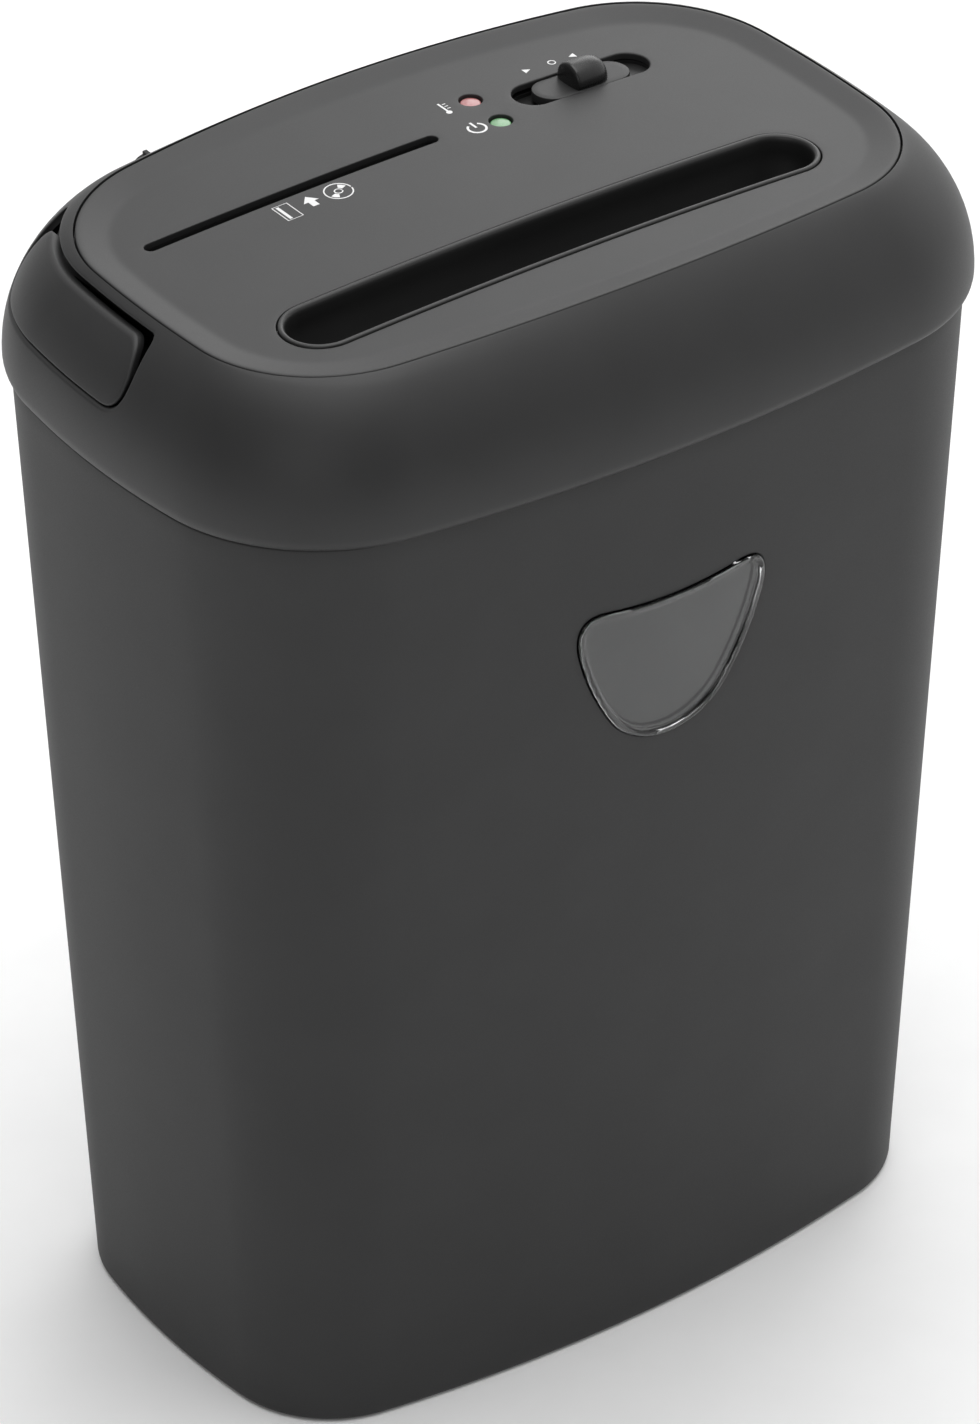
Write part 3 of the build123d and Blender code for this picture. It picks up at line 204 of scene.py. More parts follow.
def evenly(loop, spacing, start=0):
    """A closed loop of points resampled at even steps."""
    points = [Vector(p) for p in loop[start:] + loop[:start]]
    points.append(points[0])
    lengths = [0.0]
    for a, b in zip(points, points[1:]):
        lengths.append(lengths[-1] + (b - a).length)
    count = max(12, round(lengths[-1] / spacing))
    result, k = [], 0
    for n in range(count):
        want = lengths[-1] * n / count
        while lengths[k + 1] < want:
            k += 1
        share = (want - lengths[k]) / max(1e-9, lengths[k + 1] - lengths[k])
        result.append(tuple(points[k].lerp(points[k + 1], share)))
    return result


def round_corner(loop, corner, radius):
    """Replaces the sharp corner nearest to a point with a curve."""
    at = min(range(len(loop)), key=lambda k: (Vector(loop[k]) - Vector(corner)).length)
    count = len(loop)
    here = Vector(loop[at])
    before, after = at, at
    while (Vector(loop[before % count]) - here).length < radius:
        before -= 1
    while (Vector(loop[after % count]) - here).length < radius:
        after += 1
    a, c = Vector(loop[before % count]), Vector(loop[after % count])
    curve = [tuple((1 - u) ** 2 * a + 2 * u * (1 - u) * here + u ** 2 * c)
             for u in [k / 10 for k in range(11)]]
    keep = [loop[k % count] for k in range(after + 1, before + count)]
    return curve + keep


def grow(loop, distance):
    """Moves a closed anticlockwise loop outwards by a small distance."""
    count = len(loop)
    result = []
    for k in range(count):
        ahead, back = Vector(loop[(k + 1) % count]), Vector(loop[k - 1])
        step = (ahead - back).normalized()
        result.append((loop[k][0] + step.y * distance, loop[k][1] - step.x * distance))
    return result


def anticlockwise(loop):
    area = sum(a[0] * b[1] - b[0] * a[1] for a, b in zip(loop, loop[1:] + loop[:1]))
    return loop if area > 0 else loop[::-1]


def window_loop():
    """The shield-shaped window, as (x, z)."""
    half, corner_z = WINDOW_CORNER
    right, heading = tangent_arc((0, WINDOW_LOW), (1, 0), WINDOW_FOOT, 24)
    more, _ = tangent_arc(right[-1], heading, WINDOW_CORNER, 40)
    right += more
    radius = (half ** 2 + WINDOW_DIP ** 2) / (2 * WINDOW_DIP)
    top = []
    for k in range(1, 60):
        x = half * (1 - 2 * k / 60)
        top.append((x, corner_z - WINDOW_DIP + radius - sqrt(radius ** 2 - x ** 2)))
    left = [(-x, z) for x, z in reversed(right)]
    loop = evenly([(0.0, WINDOW_LOW)] + right + top + left, 0.5)
    for side in (1, -1):
        loop = round_corner(loop, (half * side, corner_z), WINDOW_ROUND)
    return anticlockwise(evenly(loop, 1.4))


def handle_loop(extra, top):
    """Outline of the handle or of its recess, as (y, z)."""
    half, low = HANDLE_HALF + extra, HANDLE_LOW - extra
    lean = 8.0 if extra == 0 else 2.5
    loop = []
    for k in range(40):
        loop.append((-half + 2 * half * k / 40, low))
    for side in (1, -1):
        rise = []
        for k in range(25):
            u = k / 24
            bulge = 4 * u * (1 - u) * lean * 0.28
            rise.append((side * (half - lean * u + bulge), low + (top - low) * u))
        loop += rise if side > 0 else rise[::-1]
        if side > 0:
            across = half - lean
            loop += [(across - 2 * across * k / 40, top) for k in range(1, 40)]
    loop = [(HANDLE_Y + y, z) for y, z in loop]
    loop = anticlockwise(evenly(loop, 0.5))
    for side in (1, -1):
        loop = round_corner(loop, (HANDLE_Y + side * half, low), 12.0 + extra)
        loop = round_corner(loop, (HANDLE_Y + side * (half - lean), top), 4.5 if extra == 0 else 2.0)
    return evenly(anticlockwise(loop), 1.3)


# ================= surfaces =================
def crown(x, drop=0.0):
    return CROWN - drop - (CROWN_R - sqrt(CROWN_R ** 2 - x ** 2))


def bin_point(s, z, inside=0.0):
    size = inset(mix(BASE, RIM, z / BIN_TOP), inside)
    x, y = outline_point(size, s)
    return (x, y, z)


@lru_cache(maxsize=None)
def dome_size(z, inside):
    """Outline of the head above its widest level; inside moves the surface inwards."""
    rise = CROWN - WIDEST_Z
    end_run, side_run = WIDEST[0] - SEAM[0], WIDEST[1] - SEAM[1]
    end_rise = rise - CROWN_RISE
    end_r = (end_run ** 2 + end_rise ** 2) / (2 * end_run)
    side_r = (side_run ** 2 + rise ** 2) / (2 * side_run)
    height = z - WIDEST_Z
    a = WIDEST[0] - end_r + sqrt(max(0.0, (end_r - inside) ** 2 - height ** 2))
    b = WIDEST[1] - side_r + sqrt(max(0.0, (side_r - inside) ** 2 - height ** 2))
    share = min(1.0, max(0.0, (WIDEST[0] - inside - a) / end_run))
    bows = mix(WIDEST, SEAM, share)
    return (a, b, bows[2], bows[3], bows[4] - inside)


def head_point(s, t, inside=0.0):
    """The head's outside: t from -1 at the skirt through 0 at the widest level to 1 at the seam."""
    if t < 0:
        share = 1 + t
        size = mix(RIM, WIDEST, sqrt(max(0.0, 1 - (1 - share) ** 2)))
        x, y = outline_point(inset(size, inside), s)
        return (x, y, SKIRT + (WIDEST_Z - SKIRT) * share)
    seam_x, seam_y = outline_point(SEAM, s)
    top = crown(seam_x)
    z = WIDEST_Z + (top - WIDEST_Z) * sin(pi / 2 * t)
    x, y = outline_point(dome_size(round(z, 4), inside), s)
    top_x, top_y = outline_point(dome_size(round(top, 4), 0.0), s)
    settle = t ** 4
    return (x + (seam_x - top_x) * settle, y + (seam_y - top_y) * settle, z)


def head_place(y, z, low=1.1, high=2.9):
    """The (s, t) of the left end's surface at a given y and z."""
    for _ in range(36):
        s = (low + high) / 2
        top = crown(outline_point(SEAM, s)[0])
        t = 2 / pi * asin(min(1.0, (z - WIDEST_Z) / (top - WIDEST_Z)))
        if head_point(s, t)[1] > y:
            low = s
        else:
            high = s
    return s, t


def bin_place(x, z, low=2.2, high=3.8):
    """The s of the bin's front surface at a given x and z."""
    for _ in range(36):
        s = (low + high) / 2
        if bin_point(s, z)[0] < x:
            low = s
        else:
            high = s
    return s


# ================= mesh building =================
class Build:
    """Collects points in millimetres and faces, and makes them one smooth-shaded object in metres."""

    def __init__(self):
        self.points, self.faces = [], []

    def row(self, points):
        start = len(self.points)
        self.points += [tuple(p) for p in points]
        return list(range(start, len(self.points)))

    def bridge(self, first, second, closed=True):
        count = len(first)
        for k in range(count if closed else count - 1):
            n = (k + 1) % count
            self.faces.append((first[k], first[n], second[n], second[k]))
        return second

    def rows(self, first, rings, closed=True):
        for ring in rings:
            first = self.bridge(first, self.row(ring), closed)
        return first

    def cap(self, ring, point):
        tip = self.row([point])[0]
        count = len(ring)
        for k in range(count):
            self.faces.append((ring[k], ring[(k + 1) % count], tip))

    def sheet(self, flat, place):
        """Adds a triangulated sheet through a placing function, and returns its loops' indices."""
        points, triangles, loops = flat
        ids = self.row([place(*p) for p in points])
        self.faces += [tuple(ids[k] for k in t) for t in triangles]
        return [[ids[k] for k in loop] for loop in loops]

    def at(self, ids):
        return [Vector(self.points[k]) for k in ids]

    def make(self, name, body, slot, sharp=38.0, replaces=(), material=None):
        mesh = bpy.data.meshes.new(name)
        mesh.from_pydata([tuple(c * MM for c in p) for p in self.points], [], self.faces)
        work = bmesh.new()
        work.from_mesh(mesh)
        bmesh.ops.remove_doubles(work, verts=work.verts, dist=2e-6)
        bmesh.ops.dissolve_degenerate(work, edges=work.edges, dist=1e-6)
        bmesh.ops.recalc_face_normals(work, faces=work.faces)
        work.to_mesh(mesh)
        work.free()
        mesh.shade_smooth()
        mesh.set_sharp_from_angle(angle=radians(sharp))
        piece = bpy.data.objects.new(name, mesh)
        bpy.context.scene.collection.objects.link(piece)
        mesh.materials.append(material or MATERIALS[slot])
        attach(piece, body)
        if replaces:
            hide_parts(*replaces)
        return piece


def rounded_edge(on_surface, corner, on_wall, steps=5):
    """Rows of a rounded edge: it leaves the surface and ends on the wall, and the corner pulls it out."""
    rings = []
    for k in range(1, steps + 1):
        u = k / steps
        rings.append([a * (1 - u) ** 2 + b * (2 * u * (1 - u)) + c * u ** 2
                      for a, b, c in zip(on_surface, corner, on_wall)])
    return rings


def inside_loop(points, loop):
    """For each point, whether it lies inside a closed loop."""
    x, y = points[:, 0], points[:, 1]
    found = np.zeros(len(points), bool)
    for (ax, ay), (bx, by) in zip(loop, loop[1:] + loop[:1]):
        crosses = (ay > y) != (by > y)
        with np.errstate(divide="ignore", invalid="ignore"):
            found ^= crosses & (x < (bx - ax) * (y - ay) / (by - ay) + ax)
    return found


def clear_of(points, loop, distance):
    loop = np.array(loop)
    gaps = np.linalg.norm(points[:, None, :] - loop[None, :, :], axis=2).min(1)
    return gaps > distance


def triangulate(outer, holes, fill, spacing):
    """Fills the outer loop less its holes with triangles through the fill points."""
    fill = np.array(fill, float).reshape(-1, 2)
    for hole in holes:
        fill = fill[~inside_loop(fill, hole)]
        fill = fill[clear_of(fill, hole, spacing * 0.55)]
    points, loops, edges = [], [], []
    for loop in [outer] + holes:
        start = len(points)
        points += [tuple(p) for p in loop]
        ids = list(range(start, len(points)))
        loops.append(ids)
        edges += list(zip(ids, ids[1:] + ids[:1]))
    points += [tuple(p) for p in fill]
    out, _, faces, origin, _, _ = delaunay_2d_cdt([Vector(p) for p in points], edges, [], 0, 1e-7)
    where = {}
    for k, sources in enumerate(origin):
        for source in sources:
            where[source] = k
    out = [tuple(p) for p in out]
    middles = np.array([np.mean([out[k] for k in f], axis=0) for f in faces])
    keep = inside_loop(middles, outer)
    for hole in holes:
        keep &= ~inside_loop(middles, hole)
    triangles = [tuple(f) for f, good in zip(faces, keep) if good]
    return out, triangles, [[where[k] for k in loop] for loop in loops]


# ================= materials =================
def node_material(name):
    material = bpy.data.materials.new(name)
    material.use_nodes = True
    nodes, links = material.node_tree.nodes, material.node_tree.links
    return material, nodes, links, nodes["Principled BSDF"]


def noise(nodes, links, coords, scale, detail=3.0, stretch=None):
    texture = nodes.new("ShaderNodeTexNoise")
    texture.inputs["Scale"].default_value = scale
    texture.inputs["Detail"].default_value = detail
    if stretch:
        mapping = nodes.new("ShaderNodeMapping")
        mapping.inputs["Scale"].default_value = stretch
        links.new(coords, mapping.inputs["Vector"])
        coords = mapping.outputs["Vector"]
    links.new(coords, texture.inputs["Vector"])
    return texture.outputs["Fac"]


def spread(nodes, links, value, low, high):
    """Maps a noise value to the range low to high."""
    remap = nodes.new("ShaderNodeMapRange")
    remap.inputs["From Min"].default_value = 0.3
    remap.inputs["From Max"].default_value = 0.7
    remap.inputs["To Min"].default_value = low
    remap.inputs["To Max"].default_value = high
    links.new(value, remap.inputs["Value"])
    return remap.outputs["Result"]


def two_tone(nodes, links, value, first, second):
    ramp = nodes.new("ShaderNodeValToRGB")
    ramp.color_ramp.elements[0].position = 0.3
    ramp.color_ramp.elements[0].color = (*first, 1)
    ramp.color_ramp.elements[1].position = 0.7
    ramp.color_ramp.elements[1].color = (*second, 1)
    links.new(value, ramp.inputs["Fac"])
    return ramp.outputs["Color"]


def moulded(name, colour, rough, grain=2600.0, grain_depth=0.02, mottle=0.12, metallic=0.0, stretch=None,
            specular=0.5):
    """Plastic, rubber or metal with a fine grain, slightly uneven tone and uneven polish."""
    material, nodes, links, shader = node_material(name)
    coords = nodes.new("ShaderNodeTexCoord").outputs["Object"]
    broad = noise(nodes, links, coords, 28.0, 4.0)
    fine = noise(nodes, links, coords, grain, 2.0, stretch)
    darker = tuple(c * (1 - mottle) for c in colour)
    lighter = tuple(c * (1 + mottle) for c in colour)
    links.new(two_tone(nodes, links, broad, darker, lighter), shader.inputs["Base Color"])
    links.new(spread(nodes, links, fine, rough * 0.92, rough * 1.08), shader.inputs["Roughness"])
    shader.inputs["Metallic"].default_value = metallic
    shader.inputs["Specular IOR Level"].default_value = specular
    bump = nodes.new("ShaderNodeBump")
    bump.inputs["Strength"].default_value = grain_depth
    bump.inputs["Distance"].default_value = 0.0004
    links.new(fine, bump.inputs["Height"])
    links.new(bump.outputs["Normal"], shader.inputs["Normal"])
    return material


def clear_plastic(name):
    material, nodes, links, shader = node_material(name)
    coords = nodes.new("ShaderNodeTexCoord").outputs["Object"]
    broad = noise(nodes, links, coords, 40.0, 3.0)
    links.new(two_tone(nodes, links, broad, (0.93, 0.94, 0.95), (0.97, 0.98, 0.98)),
              shader.inputs["Base Color"])
    links.new(spread(nodes, links, broad, 0.015, 0.035), shader.inputs["Roughness"])
    shader.inputs["Transmission Weight"].default_value = 1.0
    shader.inputs["IOR"].default_value = 1.49
    return material


def lens_plastic(name, colour, glow):
    """Translucent coloured lens over an unlit lamp."""
    material, nodes, links, shader = node_material(name)
    coords = nodes.new("ShaderNodeTexCoord").outputs["Object"]
    broad = noise(nodes, links, coords, 700.0, 2.0)
    darker = tuple(c * 0.85 for c in colour)
    links.new(two_tone(nodes, links, broad, darker, colour), shader.inputs["Base Color"])
    links.new(spread(nodes, links, broad, 0.18, 0.28), shader.inputs["Roughness"])
    shader.inputs["Subsurface Weight"].default_value = glow
    shader.inputs["Subsurface Radius"].default_value = (0.002, 0.002, 0.002)
    shader.inputs["Coat Weight"].default_value = 0.5
    shader.inputs["Coat Roughness"].default_value = 0.05
    return material


MATERIALS = {
    "bin_plastic": moulded("bin_plastic", (0.0150, 0.0150, 0.0153), 0.60, grain_depth=0.05),
    "head_plastic": moulded("head_plastic", (0.0150, 0.0150, 0.0153), 0.50, grain_depth=0.03),
    "throat_plastic": moulded("throat_plastic", (0.012, 0.012, 0.012), 0.42, grain_depth=0.03),
    "switch_plastic": moulded("switch_plastic", (0.009, 0.009, 0.009), 0.27, grain_depth=0.01),
    "clear_window": clear_plastic("clear_window"),
    "red_lens": lens_plastic("red_lens", (0.42, 0.16, 0.16), 0.2),
    "green_lens": lens_plastic("green_lens", (0.14, 0.33, 0.15), 0.2),
    "rubber_black": moulded("rubber_black", (0.012, 0.012, 0.012), 0.7, grain_depth=0.08),
    "bright_steel": moulded("bright_steel", (0.60, 0.60, 0.61), 0.28, 900.0, 0.04, 0.05, 1.0,
                            stretch=(0.05, 1, 1)),
    "zinc_steel": moulded("zinc_steel", (0.52, 0.54, 0.55), 0.38, 300.0, 0.02, 0.12, 1.0),
    "dark_iron": moulded("dark_iron", (0.09, 0.085, 0.08), 0.55, 500.0, 0.1, 0.2, 0.6),
    "bearing_bronze": moulded("bearing_bronze", (0.55, 0.36, 0.16), 0.4, 700.0, 0.05, 0.1, 1.0),
    "gear_nylon": moulded("gear_nylon", (0.72, 0.70, 0.63), 0.45, 500.0, 0.03, 0.04),
    "board_green": moulded("board_green", (0.02, 0.14, 0.05), 0.3, 900.0, 0.03, 0.1),
}
MARK_WHITE = moulded("mark_white", (0.72, 0.72, 0.72), 0.45, 1500.0, 0.02, 0.03)


def dress_cad_nodes():
    """Gives every carried-over CAD node the material of its slot."""
    for row in frame["record"]["subparts"]:
        node = frame["nodes"][row["node"]]
        node.data.materials.clear()
        node.data.materials.append(MATERIALS[row["material_slot"]])


# ================= bin =================
def wrapped_sheet(u_count, v_values, holes, scale, spacing):
    """A sheet that wraps once round an outline, as (s, v) points, with its bottom and top rows and holes.

    scale is the size of one unit of s and of v, in millimetres.
    """
    low, high = v_values[0], v_values[-1]
    bottom = [(4 * k / u_count, low) for k in range(u_count + 1)]
    right = [(4.0, v) for v in v_values[1:-1]]
    top = [(4 - 4 * k / u_count, high) for k in range(u_count + 1)]
    left = [(0.0, v) for v in reversed(v_values[1:-1])]
    outer = [(s * scale[0], v * scale[1]) for s, v in bottom + right + top + left]
    inside = [(4 * k / u_count, v) for v in v_values[1:-1] for k in range(1, u_count)]
    fill = [(s * scale[0], v * scale[1]) for s, v in inside]
    holes = [[(s * scale[0], v * scale[1]) for s, v in hole] for hole in holes]
    points, triangles, loops = triangulate(outer, holes, fill, spacing)
    points = [(u / scale[0], v / scale[1]) for u, v in points]
    edge = loops[0]
    bottom_row = edge[:u_count + 1]
    start = u_count + 1 + len(right)
    top_row = edge[start:start + u_count + 1][::-1]
    return points, triangles, [bottom_row, top_row] + loops[1:]


def bin_shell():
    build = Build()
    edge_r, hole_r, lip_r = 3.2, 0.8, 1.2
    loop = window_loop()
    surround = [(bin_place(x, z), z) for x, z in grow(loop, hole_r)]
    levels = [edge_r + (BIN_TOP - lip_r - edge_r) * k / 60 for k in range(61)]
    flat = wrapped_sheet(AROUND, levels, [surround], (ARC_SCALE, 1.0), 5.0)
    s_row = [4 * k / AROUND for k in range(AROUND + 1)]

    def inner_point(s, z):
        return bin_point(s, max(z, edge_r + 0.2) if z < BIN_TOP - 4 else z - 2.0, WALL)

    outer = build.sheet(flat, bin_point)
    inner = build.sheet(flat, inner_point)

    def ring(z, inside):
        return [bin_point(s, z, inside) for s in s_row]

    turns = [pi / 2 * k / 5 for k in range(1, 6)]
    foot = [ring(edge_r * (1 - sin(turn)), edge_r * (1 - cos(turn))) for turn in turns]
    foot += [ring(0.0, inside) for inside in (8.0, 20.0, 35.0)]
    last = build.rows(outer[0], foot, closed=False)
    build.cap(last, (0, 0, 0))
    floor_rings = [ring(WALL, inside) for inside in (WALL + 0.6, 20.0, 35.0)]
    floor = build.rows(inner[0], floor_rings, closed=False)
    build.cap(floor, (0, 0, WALL))
    turns = [pi / 2 * k / 4 for k in range(1, 5)]
    lip = [ring(BIN_TOP - lip_r + lip_r * sin(turn), lip_r * (1 - cos(turn))) for turn in turns]
    lip += [ring(BIN_TOP - drop, inside)
            for drop, inside in ((0.0, 10.0), (0.6, 10.6), (2.0, 10.6), (2.5, 10.2), (2.5, WALL + 0.4))]
    last = build.rows(outer[1], lip, closed=False)
    build.bridge(last, inner[1], closed=False)
    on_surface = build.at(outer[2])
    corner = [Vector(bin_point(bin_place(x, z), z)) for x, z in loop]
    wall = [p + Vector((0, hole_r, 0)) for p in corner]
    last = build.rows(outer[2], rounded_edge(on_surface, corner, wall))
    build.bridge(last, inner[2])
    return build.make("bin_body", "bin", "bin_plastic", replaces=["bin_shell"])


def window_lens():
    """Clear window: a pane with a raised, polished rim."""
    build = Build()
    loop = evenly(window_loop(), 1.0)

    def on_bin(x, z, proud):
        return Vector(bin_point(bin_place(x, z), z)) + Vector((0, -proud, 0))

    def surface(points, proud):
        return [on_bin(x, z, proud) for x, z in points]

    def pane(edge, proud):
        grid = np.array([(x, z) for x in np.arange(-60, 60, 3.0)
                         for z in np.arange(WINDOW_LOW, WINDOW_LOW + 80, 3.0)])
        grid = grid[inside_loop(grid, edge)]
        grid = grid[clear_of(grid, edge, 1.8)]
        return build.sheet(triangulate(edge, [], grid, 3.0), lambda x, z: on_bin(x, z, proud))[0]

    # the rim's section: distance out from the window's outline, and height proud of the bin
    profile = [(-0.15, -3.2), (-0.15, 0.2), (-0.35, 0.75), (-0.9, 1.1), (-1.5, 1.2), (-2.3, 1.1),
               (-2.9, 0.8), (-3.3, 0.25), (-3.6, -0.1), (-4.2, -0.3)]
    first = build.row(surface(grow(loop, profile[0][0]), profile[0][1]))
    last = build.rows(first, [surface(grow(loop, shift), proud) for shift, proud in profile[1:]])
    build.bridge(last, pane(grow(loop, -5.0), -0.3))
    build.bridge(first, pane(grow(loop, -0.4), -3.3))
    return build.make("window_pane", "bin", "clear_window", replaces=["window_lens"])


# ================= head shells =================
def head_cover():
    build = Build()
    edge_r, seam_r = 1.6, 0.9
    sink = 8.0   # how far the inner wall dips at the seam, to pass under the top plate
    recess = handle_loop(0.6, HANDLE_TOP + 2.6)
    around = [head_place(y, z) for y, z in grow(recess, edge_r)]
    shares = [-0.82, -0.6, -0.4, -0.2] + [k / 26 * 0.985 for k in range(27)]
    flat = wrapped_sheet(AROUND, shares, [around], (ARC_SCALE, HEAD_SCALE), 4.0)
    s_row = [4 * k / AROUND for k in range(AROUND + 1)]

    def inner_point(s, t):
        return Vector(head_point(s, t, WALL)) - Vector((0, 0, sink * max(0, t) ** 6))

    outer = build.sheet(flat, head_point)
    inner = build.sheet(flat, inner_point)

    def skirt(z, inside):
        ring = [outline_point(inset(RIM, inside), s) for s in s_row]
        return [(x, y, z) for x, y in ring]

    low = [[head_point(s, t) for s in s_row] for t in (-0.93, -0.98)]
    low += [skirt(SKIRT + 0.05, 0.1), skirt(SKIRT, 0.5), skirt(SKIRT, WALL)]
    last = build.rows(outer[0], low, closed=False)
    build.bridge(last, inner[0], closed=False)

    def seam(drop, inside):
        ring = [outline_point(inset(SEAM, inside), s) for s in s_row]
        return [Vector((x, y, crown(x, drop))) for x, y in ring]

    top = rounded_edge(build.at(outer[1]), seam(0.0, 0.0), seam(seam_r, 0.0))
    top += [seam(5.4, 0.0), seam(5.4, 5.9), seam(7.6, 5.9)]
    last = build.rows(outer[1], top, closed=False)
    build.bridge(last, inner[1], closed=False)
    corner = [Vector(head_point(*head_place(y, z))) for y, z in recess]
    wall = [p + Vector((edge_r * 1.3, 0, 0)) for p in corner]
    last = build.rows(outer[2], rounded_edge(build.at(outer[2]), corner, wall, 7))
    build.bridge(last, inner[2])
    return build.make("head_dome", "head", "head_plastic", replaces=["head_cover"])


def dish_drop(depth_in):
    """How far the top plate's surface lies below the crown, at a distance in from its edge."""
    soft, start, stop = 1.3, 1.6, DISH_BAND
    total = 0.0
    for k in range(9):
        at = depth_in + soft * (k / 4 - 1)
        total += min(1.0, max(0.0, (at - start) / (stop - start)))
    return DISH * total / 9


def top_plate():
    build = Build()
    thick, edge_r, seam_gap = 5.2, 0.9, 0.6
    edge = inset(SEAM, seam_gap)
    steps = [0.9, 2.0, 3.2, 4.6, 7.0, 9.4, 10.8, 11.8, 12.8, 13.9, 15.5]
    rings = {step: outline_ring(inset(edge, step), AROUND) for step in steps}
    # each hole's outline and the radius of its rounded edge
    holes = [
        (stadium(*SLOT_SIZE, SLOT_CENTRE, 200), 0.7),
        (stadium(*DISC_SLOT_SIZE, DISC_SLOT_CENTRE, 120), 0.5),
        (stadium(*SWITCH_SIZE, SWITCH_CENTRE, 120), 0.8),
        (circle((LIGHT_X, LIGHT_Y["led_overheat"]), LIGHT_R), 0.5),
        (circle((LIGHT_X, LIGHT_Y["led_power"]), LIGHT_R), 0.5),
    ]
    flat_edge = rings[steps[-1]]
    grid = np.array([(x, y) for x in np.arange(-150, 150, 4.0) for y in np.arange(-90, 90, 4.0)])
    grid = grid[inside_loop(grid, flat_edge)]
    grid = grid[clear_of(grid, flat_edge, 2.4)]
    loops = [grow(anticlockwise(loop), radius) for loop, radius in holes]
    flat = triangulate(flat_edge, loops, grid, 3.0)
    top = build.sheet(flat, lambda x, y: (x, y, crown(x, DISH)))
    under = build.sheet(flat, lambda x, y: (x, y, crown(x, thick)))

    def level(step, drop):
        return [Vector((x, y, crown(x, drop))) for x, y in rings[step]]

    last = build.rows(top[0], [level(step, dish_drop(step + seam_gap)) for step in reversed(steps[:-1])])
    rim = [Vector((x, y, crown(x))) for x, y in outline_ring(edge, AROUND)]
    down = [p - Vector((0, 0, edge_r)) for p in rim]
    floor = [p - Vector((0, 0, thick)) for p in rim]
    last = build.rows(last, rounded_edge(build.at(last), rim, down) + [floor])
    build.bridge(last, under[0])
    for hole_top, hole_under, (loop, radius) in zip(top[1:], under[1:], holes):
        corner = [Vector((x, y, crown(x, DISH))) for x, y in anticlockwise(loop)]
        wall = [p - Vector((0, 0, radius)) for p in corner]
        foot = [Vector((p.x, p.y, crown(p.x, thick))) for p in corner]
        last = build.rows(hole_top, rounded_edge(build.at(hole_top), corner, wall) + [foot])
        build.bridge(last, hole_under)
    return build.make("top_deck", "head", "head_plastic", replaces=["top_plate"])


def carry_handle():
    """Handle panel that follows the dome, with two arms that run back into the head."""
    build = Build()
    edge_r, thick = 1.3, 4.0
    loop = handle_loop(0.0, HANDLE_TOP)
    inner_loop = grow(loop, -edge_r)
    grid = np.array([(y, z) for y in np.arange(-20, 95, 3.0) for z in np.arange(448, 478, 3.0)])
    grid = grid[inside_loop(grid, inner_loop)]
    grid = grid[clear_of(grid, inner_loop, 1.8)]
    flat = triangulate(inner_loop, [], grid, 3.0)
    places = {p: head_place(*p) for p in flat[0]}
    outer = build.sheet(flat, lambda y, z: head_point(*places[(y, z)]))
    inner = build.sheet(flat, lambda y, z: head_point(*places[(y, z)], thick))
    corner = [Vector(head_point(*head_place(y, z))) for y, z in loop]
    side = [p + Vector((edge_r * 1.2, 0, 0)) for p in corner]
    last = build.rows(outer[0], rounded_edge(build.at(outer[0]), corner, side, 6))
    build.bridge(last, inner[0])
    arm_half, arm_z, arm_end = 4.0, HANDLE_LOW + 5.2, cad("carry_handle")[1][0]
    for y in (HANDLE_Y - 33, HANDLE_Y + 33):
        face = [(y + u, arm_z + v) for u, v in rounded_square(arm_half, 1.2)]
        start = max(head_point(*head_place(y, z))[0] for y, z in face) + 1.5
        first = build.row([(start, u, v) for u, v in face])
        build.cap(first, (start, y, arm_z))
        last = build.rows(first, [[(arm_end - 0.8, u, v) for u, v in face],
                                  [(arm_end, y + (u - y) * 0.8, arm_z + (v - arm_z) * 0.8) for u, v in face]])
        build.cap(last, (arm_end, y, arm_z))
    return build.make("handle_grip", "handle", "head_plastic", replaces=["carry_handle"])


def rounded_square(half, radius, steps=5):
    points = []
    for quarter in range(4):
        centre = (half - radius) * sqrt(2)
        middle = pi / 4 + quarter * pi / 2
        for k in range(steps + 1):
            angle = quarter * pi / 2 + pi / 2 * k / steps
            points.append((centre * cos(middle) + radius * cos(angle),
                           centre * sin(middle) + radius * sin(angle)))
    return points


# ================= slots, switch and lights =================
def throat():
    """Paper slot: a rounded lip round the mouth and a funnel down to the cutters."""
    low, _ = cad("throat_guide")
    build = Build()
    count = 200
    lip = 2.6
    length, width = SLOT_SIZE[0] - 0.9, SLOT_SIZE[1] - 0.9
    neck_centre = (-9.0, -48.0)

    def ring(over, level, flat=False):
        points = stadium(length - 2 * over, width - 2 * over, SLOT_CENTRE, count)
        if flat:
            return [Vector((x, y, level)) for x, y in points]
        return [Vector((x, y, crown(x, DISH - level))) for x, y in points]

    def neck(over, level):
        points = stadium(226 + 2 * over, 6 + 2 * over, neck_centre, count)
        return [Vector((x, y, level)) for x, y in points]

    mouth = CROWN - 16.0
    neck_top, bottom, wall = mouth - 23, low[2], 1.6
    # the lip's section: distance in from the slot's edge, and height above the plate's flat
    lip_section = [(0.0, -0.5), (0.1, 0.1), (0.45, 0.45), (1.0, 0.6), (1.6, 0.5), (2.2, 0.0), (2.6, -0.9),
                   (2.75, -2.2), (2.8, -6.0)]
    wide, narrow = ring(lip + 0.3, mouth, True), neck(0.0, neck_top)
    rings = [ring(over, level) for over, level in lip_section]
    rings += [wide, [a.lerp(b, 0.5) for a, b in zip(wide, narrow)], narrow,
              neck(0.0, bottom), neck(wall, bottom), neck(wall, neck_top),
              ring(lip - 1.5, mouth - 2, True), ring(lip - 1.5, -9.5), ring(0.0, -9.5)]
    first = build.row(rings[0])
    last = build.rows(first, rings[1:])
    build.bridge(last, first)
    return build.make("paper_slot", "head", "throat_plastic", replaces=["throat_guide"])


